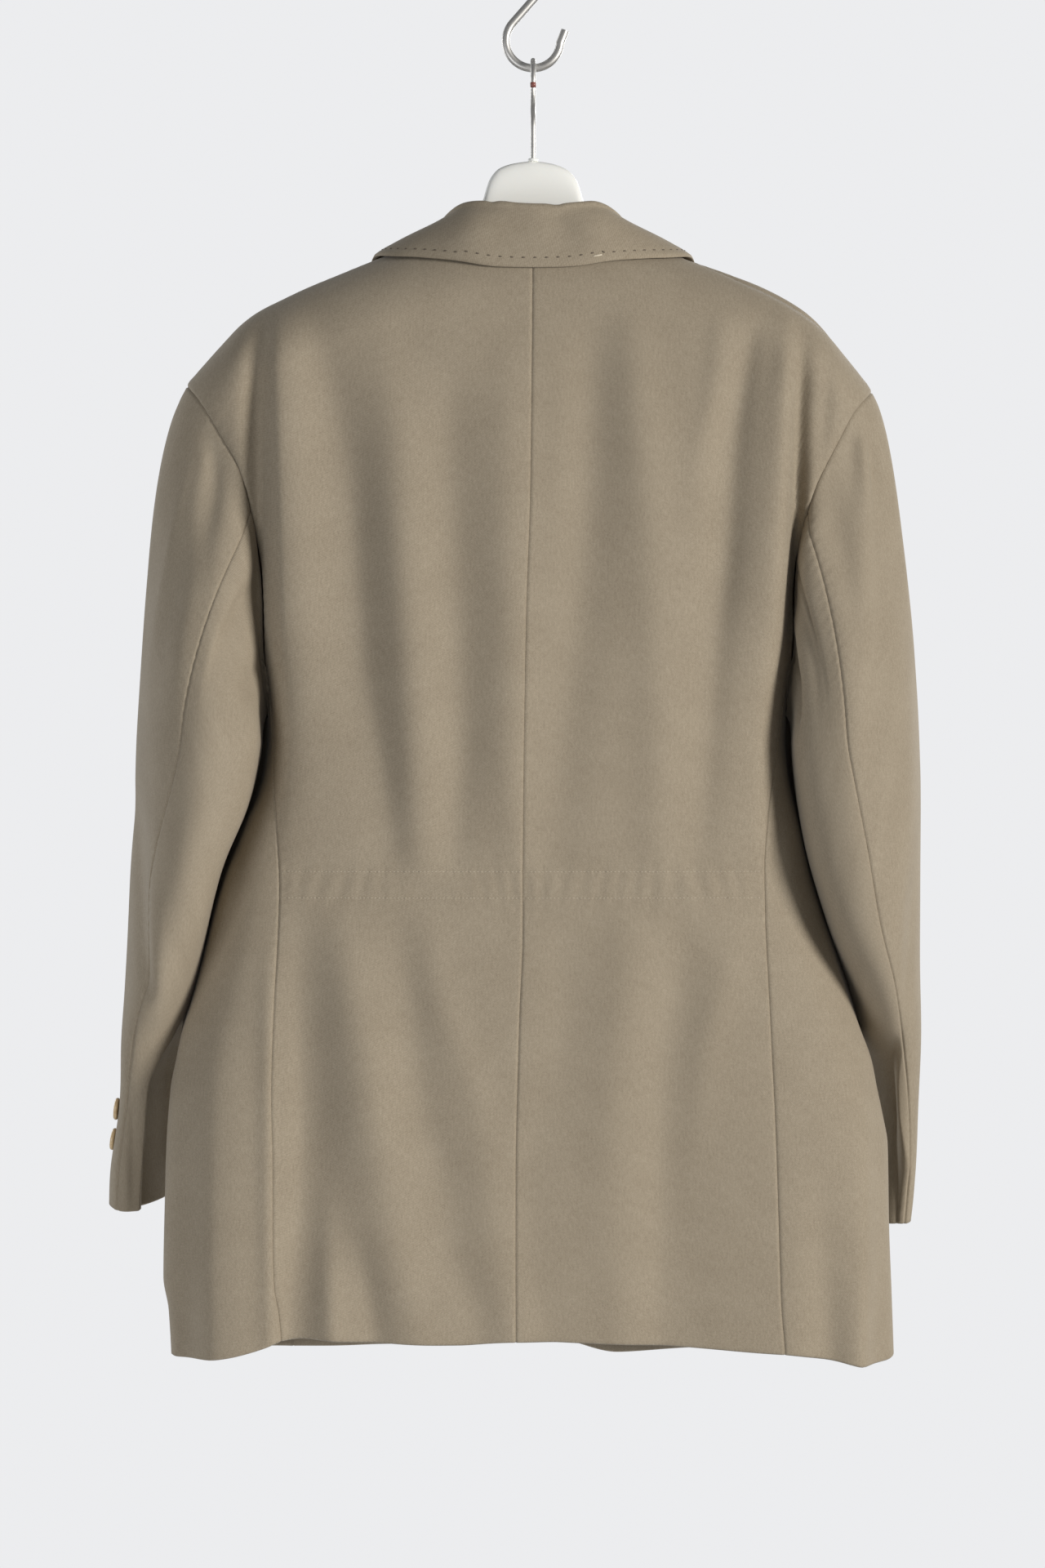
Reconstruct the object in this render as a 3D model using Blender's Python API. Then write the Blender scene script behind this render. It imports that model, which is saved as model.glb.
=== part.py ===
"""An oversized notch-lapel blazer hanging on a plastic hanger from a metal S-hook, seen from its back.

Blender script, metres, +Z up. The back of the blazer faces -Y and the front faces +Y, so the
wearer's left is -X. The origin is the inner top of the S-hook's upper bowl, which holds the lot.
All tables are in millimetres: "drop" is the distance below the origin, "x" is across,
"s" runs over the shoulder: positive down the back, negative down the front.
"""

import math

import bmesh
import bpy

MM = 0.001
WALL = 1.6
COLLAR_WALL = 2.4
HALF_GAP = 0.17
LEFT, RIGHT = -1, 1

SHOULDER_ROUNDING = 55.0
SECTION_POWER = 2.8
CHEST_BREAK = 572.0
UNDERARM_SEAM = 505.0
UNDERARM = 545.0
SLEEVE_BICEP = 566.0

# x, drop of the shoulder's ridge
RIDGE = (
    (-300.0, 385.0), (-241.7, 314.1), (-228.0, 298.7), (-216.6, 286.1), (-202.9, 271.8),
    (-191.5, 263.3), (-174.4, 254.6), (-157.9, 246.8), (-134.5, 237.1), (-109.4, 226.9),
    (-80.0, 216.0), (-40.0, 204.0), (0.0, 200.0), (40.0, 204.0), (80.0, 216.8), (112.3, 228.6),
    (137.9, 237.7), (159.6, 246.2), (184.7, 259.9), (201.8, 274.7), (216.6, 293.0),
    (236.5, 318.1), (300.0, 400.0),
)
# drop, half-width of the body's section
HALF_WIDTH = {
    LEFT: (
        (200, 290), (300, 275), (314, 264), (340, 245), (366, 229), (394, 217), (440, 207),
        (480, 200), (505, 190.5), (530, 185.3), (560, 184.4), (585, 187.5), (600, 192), (616, 199),
        (635, 206), (652, 213), (678, 221), (710, 229), (739, 236.5), (766, 245), (785, 249),
        (803, 252.5), (843, 255.5), (878, 256.5), (935, 257.6), (957, 254), (1010, 251),
    ),
    RIGHT: (
        (200, 285), (300, 268), (318, 257), (340, 240), (366, 226), (394, 213), (440, 202),
        (480, 194), (505, 183.5), (530, 177), (560, 175), (585, 177.5), (600, 180.5), (623, 186),
        (650, 191.5), (676, 199), (700, 207), (731, 217), (760, 227), (785, 236),
        (803, 239.5), (822, 243.5), (843, 247), (900, 248), (945, 249.7), (1010, 252),
    ),
}
# drop, depth of the back and of the front from the middle plane
BACK_DEPTH = (
    (190, 52), (226, 56), (260, 61), (320, 67), (400, 70), (500, 70), (600, 67), (660, 59),
    (700, 61), (760, 64), (860, 66), (1010, 66),
)
FRONT_DEPTH = (
    (190, 46), (226, 50), (260, 57), (320, 66), (400, 72), (500, 72), (600, 68), (700, 65),
    (800, 65), (1010, 67),
)
# drop, x of the centre back seam
CENTRE_BACK = (
    (200, -0.3), (300, -1.0), (392, -1.9), (475, -4.6), (631, -6.9), (698, -7.4), (753, -9.6),
    (865, -11.9), (1010, -11.9),
)
# drop, x of the armhole's edge, down to the seam of the side panel
ARMHOLE = {
    LEFT: (
        (314.1, -241.7), (318, -239.0), (326, -232.6), (337.7, -224.7), (357.5, -212.8),
        (371.6, -204.4), (386.3, -198.1), (396.4, -195.3), (420, -190.5), (450, -187.6),
        (480, -186.6), (505, -186.5),
    ),
    RIGHT: (
        (318.1, 236.5), (322, 234.0), (329.3, 227.4), (338.3, 220.6), (356.9, 210.6),
        (373.3, 201.9), (389.6, 194.0), (406.6, 187.3), (416.2, 184.6), (440, 180.6),
        (470, 179.0), (505, 179.5),
    ),
}
# drop, x of the seam between back and side panel
SIDE_SEAM = {
    LEFT: (
        (505, -186.5), (524, -184.0), (558.6, -180.6), (594.5, -178.8), (623, -176.2),
        (664, -174.2), (701, -175.3), (737, -177.0), (803, -178.7), (851, -177.4),
        (910, -177.0), (936, -176.0), (953, -173.2), (975, -171.4), (1010, -171.0),
    ),
    RIGHT: (
        (505, 179.5), (533, 173.6), (558.6, 169.6), (587, 165.3), (616, 161.3), (650, 159.1),
        (687, 159.4), (730, 161.1), (782, 163.1), (810, 164.4), (883, 166.7), (947, 168.6),
        (981, 171.1), (1010, 171.6),
    ),
}
# x, drop of the back's hem
BACK_HEM = (
    (-176, 972.5), (-157, 969.7), (-123, 971.3), (-86, 972.4), (-50, 973.0), (-12, 970.8),
    (13, 970.8), (28, 971.3), (88, 973.6), (113, 975.2), (159, 978.6), (176, 979.6),
)
# share of the side panel's width from back to front, drop of its hem
SIDE_HEM = {
    LEFT: (
        (0, 976), (0.06, 981), (0.2, 985.5), (0.35, 987), (0.5, 988.2), (0.7, 990), (1, 992),
    ),
    RIGHT: (
        (0, 980), (0.1, 984), (0.25, 989.5), (0.4, 989), (0.5, 987), (0.7, 989), (1, 992),
    ),
}
# distance from the centre front, drop of the front's hem
FRONT_HEM = {
    LEFT: (
        (-19.5, 940), (-16.5, 950), (-8, 961), (0, 969), (14, 978), (35, 985), (70, 991),
        (129, 993), (180, 992),
    ),
    RIGHT: (
        (-19.5, 944), (-16.5, 955), (-8, 967), (0, 974), (14, 984), (31, 991), (61, 997.5),
        (97, 996), (180, 992),
    ),
}
# drop, distance of the roll line from the centre front; below the break it runs down the front's edge
ROLL_LINE = ((262, 42), (572, -16.5), (960, -16.5), (1010, -16.5))
# drop of the roll line, width of the lapel beyond it, and of the last strip of the front's edge
LAPEL_WIDTH = (
    (262, 86), (310, 82), (380, 67), (460, 44), (505, 26), (532, 13), (552, 6), (572, 3), (1010, 3),
)
# drop, height of the upper front over the lower one: more where it covers the lower lapel
UPPER_LIFT = ((390, 0), (455, 10.5), (548, 11), (568, 7.5), (590, 3.3), (1010, 3.3))
# distance from the centre back, drop of the neck's seam
BACK_NECK = ((0, 226.0), (30, 225.4), (50, 223.6), (66, 220.6), (80, 216.9))
FRONT_NECK = ((80, 216.9), (74, 226), (66, 236), (56, 247), (42, 262))
# x, arc from the ridge to the right shoulder's seam, which lies a little behind the ridge
SHOULDER_SEAM = (
    (-260, 0), (60, 0), (95, 6), (125, 14), (150, 24), (185, 25), (205, 14), (236, 2), (260, 0),
)

# Folds of the back: (x, height, half-width) at each drop, positive towards the viewer.
BACK_FOLDS = (
    ("left drape valley", ((262, -176, 0, 9), (300, -178, -6, 10), (420, -180, -8, 11),
                           (540, -177, -6, 11), (640, -170, 0, 12))),
    ("left drape ridge", ((250, -148, 0, 14), (320, -150, 4, 16), (450, -152, 6, 17),
                          (560, -146, 5, 17), (650, -135, 0, 16))),
    ("left shoulder blade valley", ((260, -98, 0, 12), (380, -92, -4, 14), (520, -88, -4, 15),
                                    (640, -86, 0, 14))),
    ("left blade ridge", ((280, -60, 0, 14), (400, -62, 3, 15), (560, -56, 3, 15), (650, -50, 0, 15))),
    ("right of centre ridge", ((290, 20, 0, 13), (420, 22, 3, 14), (560, 24, 3, 14), (650, 24, 0, 14))),
    ("right middle valley", ((280, 52, 0, 13), (420, 54, -4, 14), (560, 56, -3, 14), (650, 60, 0, 14))),
    ("right blade ridge", ((270, 98, 0, 17), (400, 102, 5, 18), (560, 100, 4, 18), (655, 92, 0, 17))),
    ("right drape valley", ((262, 150, 0, 9), (320, 152, -5, 10), (450, 152, -6, 11),
                            (560, 148, -5, 12), (660, 142, 0, 12))),
    ("skirt left diagonal valley", ((672, -138, 0, 14), (760, -134, -6, 20), (850, -128, -7, 24),
                                    (985, -118, -8, 28))),
    ("skirt left ridge", ((680, -88, 0, 14), (780, -90, 6, 18), (880, -78, 7, 22), (985, -60, 6, 26))),
    ("skirt right ridge", ((690, 92, 0, 16), (800, 84, 6, 20), (900, 74, 7, 24), (985, 66, 6, 28))),
    ("skirt right valley", ((720, 150, 0, 13), (820, 156, -5, 16), (900, 162, -6, 18), (985, 176, -7, 18))),
    ("skirt centre valley", ((700, 12, 0, 18), (820, 6, -4, 22), (985, 0, -5, 26))),
)
# Folds of the side panels, by distance from the middle plane and drop.
SIDE_FOLDS = {
    LEFT: ((600, 212, 0, 12), (860, 214, 2, 12), (950, 214, 5, 12), (1000, 214, 6, 12)),
    RIGHT: ((760, 222, 0, 9), (860, 218, 5, 9), (940, 214, 6, 9), (1000, 214, 6, 9)),
}

# drop, outer x, short half-axis, long half-axis, y of the middle, lean of its back edge inwards
SLEEVE_SECTIONS = {
    LEFT: (
        (560, 278.7, 42.3, 80, 0, 12), (609, 279.3, 37.6, 78, 0, 13), (652, 283.2, 30.6, 75, 3, 13),
        (689, 285.6, 27.9, 71, 9, 11), (740, 289.0, 25.8, 67, 27, 3), (776, 290.7, 24, 63, 47, -10),
        (813, 291.8, 24, 59, 62, -16), (847, 295.8, 24.5, 58, 68, -20), (868, 299.2, 25, 57, 71, -21),
        (900, 300.2, 25, 56, 73, -21),
    ),
    RIGHT: (
        (560, 270.2, 42.7, 80, 0, 12), (587, 271.9, 42, 79, 0, 12.5), (631, 273.0, 39.4, 76, 2, 13),
        (689, 273.6, 32.3, 72, 10, 11), (740, 273.6, 25.8, 68, 34, 2), (785, 273.5, 24, 60, 64, -14),
        (822, 273.5, 23, 57, 80, -19), (857, 273.8, 23, 56, 86, -21), (882, 272.9, 23, 55, 89, -21),
        (910, 271.2, 23, 54, 91, -21),
    ),
}
# drop, distance of the sleeve's back seam from the middle plane
SLEEVE_SEAM = {
    LEFT: ((560, 238), (595, 246.5), (639, 259.3), (673, 265.4), (725, 265.6), (757, 274.5),
           (798, 282.2), (830, 287), (868, 292), (900, 294)),
    RIGHT: ((560, 210.6), (601, 219.9), (639, 227.8), (693, 237.8), (740, 251.8), (782, 259.6),
            (819, 265.5), (860, 267.5), (910, 267)),
}
SLEEVE_FRONT_SEAM_ANGLE = 228.0
SLEEVE_ROWS = (592, 618, 644, 670, 696, 722, 748, 774, 800, 830, 862)
CAP_ROWS = (0.0, 0.06, 0.14, 0.24, 0.37, 0.52, 0.68, 0.84, 1.0)
# drop of the cuff at its back edge, rise per mm towards the front
CUFF = {LEFT: (893.5, 0.13), RIGHT: (906.5, 0.06)}

# Rows of the body's panels: shares of the way from the hem to the side panel's top, and on to the
# shoulder. The neighbours share them, so that the two edges of a seam run side by side.
LOWER_ROWS = tuple(k / 15 for k in range(15))
UPPER_ROWS = (0.0, 0.09, 0.18, 0.30, 0.42, 0.53, 0.64, 0.75, 0.85, 0.93, 1.0)
SLEEVE_BACK_SEAM_ROW, SLEEVE_FRONT_SEAM_ROW = 5, 2
SPLIT = 0.6
SHOULDER_COLUMNS, BACK_NECK_COLUMNS, FRONT_NECK_COLUMNS, SIDE_COLUMNS = 9, 5, 3, 8
LAPEL_COLUMNS = (1.0, 0.8, 0.58, 0.38, 0.22, 0.1)

# The collar from centre back to its front end: along, x and drop of its fold, y of its fold,
# x and s of the edge of its fall, height of that edge over the cloth
COLLAR = (
    (0.00, 0.0, 195.4, -44.5, 0.0, 70.0, 1.3),
    (0.15, 20.0, 194.8, -42.5, 27.0, 67.5, 1.3),
    (0.30, 37.0, 194.4, -36.5, 54.0, 57.5, 1.3),
    (0.42, 47.5, 195.2, -28.0, 77.0, 44.5, 1.3),
    (0.54, 54.5, 197.5, -16.5, 95.0, 31.5, 1.3),
    (0.64, 58.5, 200.5, -5.0, 106.5, 15.0, 1.3),
    (0.72, 60.5, 203.5, 7.5, 111.5, -6.0, 1.3),
    (0.80, 60.0, 209.0, 21.5, 114.0, -28.0, 1.4),
    (0.88, 57.0, 219.0, 36.0, 112.0, -50.0, 1.6),
    (0.95, 50.5, 237.0, 50.0, 105.0, -68.0, 1.8),
    (1.00, 44.5, 256.0, 58.5, 97.0, -80.0, 2.0),
)
COLLAR_FOLD_RADIUS = 2.6
COLLAR_STATIONS = 13

# The hanger's body: x, drop of its top, height, half-depth
HANGER = (
    (-191, 272.5, 8, 12), (-186, 267.0, 14, 14), (-170, 258.8, 18, 15), (-145, 247.7, 20, 15),
    (-115, 235.6, 20, 14), (-85, 225.5, 20, 12), (-60, 218.5, 21, 9), (-44, 208.0, 25, 7.5),
    (-36, 188.0, 34, 7), (-30, 170.0, 48, 7), (-23, 162.6, 52, 7), (-12, 159.2, 52, 7),
    (0, 157.9, 52, 7), (12, 159.4, 52, 7), (23, 163.4, 51, 7), (30, 170.4, 47, 7),
    (36, 188.0, 34, 7), (44, 208.0, 25, 7.5), (60, 218.5, 21, 9), (85, 226.0, 20, 12),
    (115, 236.6, 20, 14), (145, 248.2, 20, 15), (170, 260.6, 18, 15), (186, 271.0, 14, 14),
    (191, 276.5, 8, 12),
)
HANGER_WIRE = 1.8
HANGER_HOOK_BEND = 18.0
S_HOOK_WIRE = 2.9
S_HOOK_BOWL = 19.0
S_HOOK_BOWL_SPACING = 57.5
FRONT_BUTTON_DROPS = (604.0, 720.0)
# drop of each cuff button, angle round the sleeve from its back edge
CUFF_BUTTONS = {LEFT: ((822.5, 54.0), (844.5, 54.0)), RIGHT: ((836.0, 118.0), (858.0, 118.0))}
CUFF_BUTTON_LIFT = {LEFT: 0.8, RIGHT: 0.1}
CASING = (652.0, 670.0)


def smooth(table, x, column=1):
    """The value at x of a smooth curve through the table's rows, which doesn't overshoot them."""
    rows = table
    if x <= rows[0][0]:
        return rows[0][column]
    if x >= rows[-1][0]:
        return rows[-1][column]
    i = 0
    while rows[i + 1][0] < x:
        i += 1
    steps = [
        (rows[k + 1][column] - rows[k][column]) / (rows[k + 1][0] - rows[k][0])
        for k in range(max(i - 1, 0), min(i + 2, len(rows) - 1))
    ]
    here = steps[min(1, i) if i > 0 else 0]
    before = steps[0] if i > 0 else here
    after = steps[-1] if i + 2 < len(rows) else here
    start = 0.0 if before * here <= 0 else 2 * before * here / (before + here)
    end = 0.0 if here * after <= 0 else 2 * here * after / (here + after)
    width = rows[i + 1][0] - rows[i][0]
    t = (x - rows[i][0]) / width
    return (
        (2 * t**3 - 3 * t**2 + 1) * rows[i][column]
        + (t**3 - 2 * t**2 + t) * width * start
        + (3 * t**2 - 2 * t**3) * rows[i + 1][column]
        + (t**3 - t**2) * width * end
    )


def ease(t):
    t = min(max(t, 0.0), 1.0)
    return t * t * (3 - 2 * t)


def add(a, b, scale=1.0):
    return tuple(p + q * scale for p, q in zip(a, b))


def cross(a, b):
    return (
        a[1] * b[2] - a[2] * b[1],
        a[2] * b[0] - a[0] * b[2],
        a[0] * b[1] - a[1] * b[0],
    )


def unit(a):
    length = math.sqrt(sum(p * p for p in a)) or 1.0
    return tuple(p / length for p in a)


def drop_at(x, s):
    """Drop of the point that lies s along the cloth from the ridge at x."""
    arc = SHOULDER_ROUNDING * math.pi / 2
    if abs(s) < arc:
        fall = SHOULDER_ROUNDING * (1 - math.cos(s / SHOULDER_ROUNDING))
    else:
        fall = SHOULDER_ROUNDING + abs(s) - arc
    return smooth(RIDGE, x) + fall


def s_at(x, drop):
    """The inverse of drop_at, as a positive distance."""
    fall = max(drop - smooth(RIDGE, x), 0.0)
    if fall < SHOULDER_ROUNDING:
        return SHOULDER_ROUNDING * math.acos(1 - fall / SHOULDER_ROUNDING)
    return SHOULDER_ROUNDING * math.pi / 2 + fall - SHOULDER_ROUNDING


def fold_height(x, drop):
    height = 0.0
    for _, rows in BACK_FOLDS:
        if rows[0][0] <= drop <= rows[-1][0] or drop > 980:
            centre, peak, width = (smooth(rows, drop, k) for k in (1, 2, 3))
            height += peak * math.exp(-(((x - centre) / width) ** 2))
    side = LEFT if x < 0 else RIGHT
    rows = SIDE_FOLDS[side]
    if drop > rows[0][0]:
        centre, peak, width = (smooth(rows, drop, k) for k in (1, 2, 3))
        height += peak * math.exp(-(((abs(x) - centre) / width) ** 2))
    return height


def skin(x, s, upper=False):
    """Outer face of the body's cloth at x and s; upper is the front that buttons over the other."""
    drop = drop_at(x, s)
    side = LEFT if x < 0 else RIGHT
    across = min(abs(x) / smooth(HALF_WIDTH[side], drop), 1.0)
    section = (1 - across**SECTION_POWER) ** (1 / SECTION_POWER)
    rounding = math.sin(min(abs(s) / SHOULDER_ROUNDING, math.pi / 2))
    if s >= 0:
        y = -smooth(BACK_DEPTH, drop) * section * rounding
        y -= fold_height(x, drop) * min(section * 1.6, 1.0)
    else:
        y = smooth(FRONT_DEPTH, drop) * section * rounding
        if upper:
            y += smooth(UPPER_LIFT, drop) * (ease((80 + x) / 62) if x < 0 else 1.0)
    return (x, y, -drop)


def side_skin(side, angle, drop):
    """The same face round the side: angle 0 at the centre back, a half turn at the centre front."""
    width = smooth(HALF_WIDTH[side], drop)
    x = side * width * abs(math.sin(angle)) ** (2 / SECTION_POWER)
    bend = abs(math.cos(angle)) ** (2 / SECTION_POWER)
    if angle <= math.pi / 2:
        y = -smooth(BACK_DEPTH, drop) * bend - fold_height(x, drop) * min(bend * 1.6, 1.0)
    else:
        y = smooth(FRONT_DEPTH, drop) * bend
    return (x, y, -drop)


def angle_at(side, x, drop):
    across = min(abs(x) / smooth(HALF_WIDTH[side], drop), 1.0)
    return math.asin(across ** (SECTION_POWER / 2))


def skin_normal(x, s, upper=False):
    along = add(skin(x + 0.6, s, upper), skin(x - 0.6, s, upper), -1)
    down = add(skin(x, s + 0.6, upper), skin(x, s - 0.6, upper), -1)
    return unit(cross(down, along))


def side_normal(side, angle, drop):
    round_ = add(side_skin(side, angle + 0.01, drop), side_skin(side, angle - 0.01, drop), -1)
    down = add(side_skin(side, angle, drop + 0.8), side_skin(side, angle, drop - 0.8), -1)
    return unit(cross(down, round_) if side > 0 else cross(round_, down))


def patch(left, right, bottom, top, columns, rows):
    """A grid of (x, s) inside four border curves that each run from 0 to 1."""
    grid = []
    for v in rows:
        line = []
        for u in columns:
            corner = (
                (1 - u) * (1 - v), u * (1 - v), (1 - u) * v, u * v,
            )
            corners = (bottom(0.0), bottom(1.0), top(0.0), top(1.0))
            point = []
            for k in (0, 1):
                value = (1 - v) * bottom(u)[k] + v * top(u)[k]
                value += (1 - u) * left(v)[k] + u * right(v)[k]
                value -= sum(c * p[k] for c, p in zip(corner, corners))
                point.append(value)
            line.append(tuple(point))
        grid.append(line)
    return grid


def joined(first, second, share):
    """One curve from 0 to 1: the first up to the share, then the second."""
    return lambda t: first(t / share) if t < share else second((t - share) / (1 - share))


def panel_rows():
    return [SPLIT * k for k in LOWER_ROWS] + [SPLIT + (1 - SPLIT) * k for k in UPPER_ROWS]


def top_columns(neck):
    """Shares of a panel's width: the neck's columns, then the shoulder's, which back and front share."""
    share = neck / (neck + SHOULDER_COLUMNS)
    columns = [share * k / neck for k in range(neck)]
    columns += [share + (1 - share) * k / SHOULDER_COLUMNS for k in range(SHOULDER_COLUMNS + 1)]
    return share, columns


def through(points):
    """A curve from 0 to 1 along a polyline of (x, s) points, by length."""
    lengths = [0.0]
    for a, b in zip(points, points[1:]):
        lengths.append(lengths[-1] + math.dist(a, b))

    def curve(t):
        target = t * lengths[-1]
        i = 0
        while i + 2 < len(points) and lengths[i + 1] < target:
            i += 1
        span = lengths[i + 1] - lengths[i] or 1.0
        part = (target - lengths[i]) / span
        return tuple(p + (q - p) * part for p, q in zip(points[i], points[i + 1]))

    return curve


def mesh_object(name, points, faces, material):
    mesh = bpy.data.meshes.new(name)
    mesh.from_pydata([tuple(c * MM for c in p) for p in points], [], faces)
    work = bmesh.new()
    work.from_mesh(mesh)
    bmesh.ops.recalc_face_normals(work, faces=work.faces)
    work.to_mesh(mesh)
    work.free()
    mesh.materials.append(material)
    obj = bpy.data.objects.new(name, mesh)
    blazer.objects.link(obj)
    return obj


def shell(name, grid, normals, material, outer=0.0, inner=WALL):
    """A sheet of cloth: the grid raised by outer, its back lowered by inner, and a rim between."""
    rows, columns = len(grid), len(grid[0])
    count = rows * columns
    flat = [p for line in grid for p in line]
    flat_normals = [n for line in normals for n in line]
    points = [add(p, n, outer) for p, n in zip(flat, flat_normals)]
    points += [add(p, n, -inner) for p, n in zip(flat, flat_normals)]
    faces = []
    for r in range(rows - 1):
        for c in range(columns - 1):
            a, b = r * columns + c, (r + 1) * columns + c
            faces.append((a, a + 1, b + 1, b))
            faces.append((count + b, count + b + 1, count + a + 1, count + a))
    rim = [c for c in range(columns)]
    rim += [r * columns + columns - 1 for r in range(1, rows)]
    rim += [(rows - 1) * columns + c for c in range(columns - 2, -1, -1)]
    rim += [r * columns for r in range(rows - 2, 0, -1)]
    for a, b in zip(rim, rim[1:] + rim[:1]):
        faces.append((b, a, count + a, count + b))
    return mesh_object(name, points, faces, material)


def outer_edge(side, drop):
    table = ARMHOLE[side] if drop < UNDERARM_SEAM else SIDE_SEAM[side]
    return smooth(table, drop)


def edge_up(side, sign, hem_drop):
    """The side seam and the armhole's edge as (x, s), from the hem up to the shoulder's end."""

    def curve(v):
        if v < SPLIT:
            drop = hem_drop + (UNDERARM_SEAM - hem_drop) * v / SPLIT
        else:
            drop = UNDERARM_SEAM + (ARMHOLE[side][0][0] - UNDERARM_SEAM) * (v - SPLIT) / (1 - SPLIT)
        x = outer_edge(side, drop)
        if v >= 1:
            return (x - side * HALF_GAP, sign * HALF_GAP)
        return (x - side * HALF_GAP, sign * s_at(x, drop))

    return curve


def middle_up(table, side, sign, hem_drop, top_drop, inset):
    """The centre seam or the roll line as (x, s), from the hem up to the neck."""

    def curve(v):
        if v < SPLIT:
            drop = hem_drop + (UNDERARM_SEAM - hem_drop) * v / SPLIT
        else:
            drop = UNDERARM_SEAM + (top_drop - UNDERARM_SEAM) * (v - SPLIT) / (1 - SPLIT)
        x = side * smooth(table, drop) if table is ROLL_LINE else smooth(table, drop)
        return (x + side * inset, sign * s_at(x, drop))

    return curve


def shoulder_line(side, inset):
    end = abs(ARMHOLE[side][0][1]) - HALF_GAP

    def curve(t):
        x = side * (80 + (end - 80) * t)
        return (x, smooth(SHOULDER_SEAM, x) + inset)

    return curve


def make_grid(side, left, right, bottom, neck, inset, neck_columns):
    share, columns = top_columns(neck_columns)
    top = joined(neck, shoulder_line(side, inset), share)
    return patch(left, right, bottom, top, columns, panel_rows())


def back_panel(side):
    centre = middle_up(CENTRE_BACK, side, 1, 970.8, 226.0, HALF_GAP)
    outer = edge_up(side, 1, smooth(BACK_HEM, outer_edge(side, 975)))
    start, end = centre(0.0)[0], outer(0.0)[0]

    def hem(u):
        x = start + (end - start) * u
        return (x, s_at(x, smooth(BACK_HEM, x)))

    neck = through([centre(1.0)] + [(side * d, s_at(side * d, z)) for d, z in BACK_NECK[1:]])
    grid = make_grid(side, centre, outer, hem, neck, HALF_GAP, BACK_NECK_COLUMNS)
    sheet = [[skin(x, s) for x, s in line] for line in grid]
    normals = [[skin_normal(x, s) for x, s in line] for line in grid]
    shell(f"back_{'left' if side < 0 else 'right'}", sheet, normals, wool)


def side_panel(side):
    """The panel under the arm, whose rows end beside those of the back and of the front."""
    grid, normals = [], []
    back_low = smooth(BACK_HEM, outer_edge(side, 975))
    for r in range(len(LOWER_ROWS) + 1):
        v = r / len(LOWER_ROWS)
        line, line_normals = [], []
        for c in range(SIDE_COLUMNS + 1):
            u = c / SIDE_COLUMNS
            edge_low = back_low + (992.0 - back_low) * u
            low = edge_low + (smooth(SIDE_HEM[side], u) - edge_low) * (1 - abs(2 * u - 1) ** 8)
            high = underarm_drop(u) + HALF_GAP
            drop = low + (high - low) * v
            seam_drop = edge_low + (UNDERARM_SEAM - edge_low) * v
            start = angle_at(side, outer_edge(side, seam_drop) + side * HALF_GAP, seam_drop)
            angle = start + (math.pi - 2 * start) * u
            line.append(side_skin(side, angle, drop))
            line_normals.append(side_normal(side, angle, drop))
        grid.append(line)
        normals.append(line_normals)
    shell(f"side_{'left' if side < 0 else 'right'}", grid, normals, wool)


def front_panel(side):
    upper = side == LEFT
    low = FRONT_HEM[side][1][1]
    edge = middle_up(ROLL_LINE, side, -1, low, 262.0, 0.0)
    outer = edge_up(side, -1, 992.0)
    start, end = side * edge(0.0)[0], abs(outer(0.0)[0])

    def hem(u):
        out = start + (end - start) * u ** 1.5
        return (side * out, -s_at(side * out, smooth(FRONT_HEM[side], out)))

    neck = through([edge(1.0)] + [(side * d, -s_at(side * d, z)) for d, z in FRONT_NECK[::-1][1:]])
    grid = make_grid(side, edge, outer, hem, neck, -HALF_GAP, FRONT_NECK_COLUMNS)
    sheet, normals = [], []
    for line in grid:
        strip, strip_normals = lapel_strip(side, line[0], upper, low)
        sheet.append(strip + [skin(x, s, upper) for x, s in line])
        normals.append(strip_normals + [skin_normal(x, s, upper) for x, s in line])
    shell(f"front_{'left' if side < 0 else 'right'}", sheet, normals, wool)


def lapel_strip(side, start, upper, low):
    """One row of the cloth beyond the roll line, from its free edge to the roll line."""
    drop = drop_at(*start)
    width = smooth(LAPEL_WIDTH, drop)
    turn = math.pi * ease((CHEST_BREAK - drop) / 50)
    radius = 3.0
    slant = 34.0 * max(0.0, (CHEST_BREAK - drop) / (CHEST_BREAK - 262)) ** 1.5
    corner = (FRONT_HEM[side][1][1] - FRONT_HEM[side][0][1]) * ease((drop - (low - 50)) / 50)
    base = skin(*start, upper)
    points, normals = [], []
    for part in LAPEL_COLUMNS:
        q = width * part
        bend = min(q / radius, turn)
        rest = q - bend * radius
        out = radius * math.sin(bend) + rest * math.cos(bend)
        up = radius * (1 - math.cos(bend)) + rest * math.sin(bend)
        x = base[0] - side * out
        here = drop + slant * part**1.2 - corner * part
        follow = skin(x, -s_at(x, here), upper)[1] - base[1]
        y = base[1] + up + follow * (1.0 if turn < 0.02 else ease(turn / math.pi))
        points.append((x, y, -here))
        normals.append((side * -math.sin(bend), math.cos(bend), 0.0))
    return points, normals


def armhole_point(side, sign, drop):
    x = smooth(ARMHOLE[side], drop)
    s = sign * s_at(x, drop)
    return skin(x, s), skin_normal(x, s)


def underarm_drop(part):
    """Drop of the armhole's bottom across the side panel, back to front."""
    return UNDERARM_SEAM + (UNDERARM - UNDERARM_SEAM) * math.sin(math.pi * part)


def underarm_point(side, part):
    drop = underarm_drop(part)
    start = angle_at(side, outer_edge(side, UNDERARM_SEAM), UNDERARM_SEAM)
    angle = start + (math.pi - 2 * start) * part
    return side_skin(side, angle, drop), side_normal(side, angle, drop)


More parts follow.
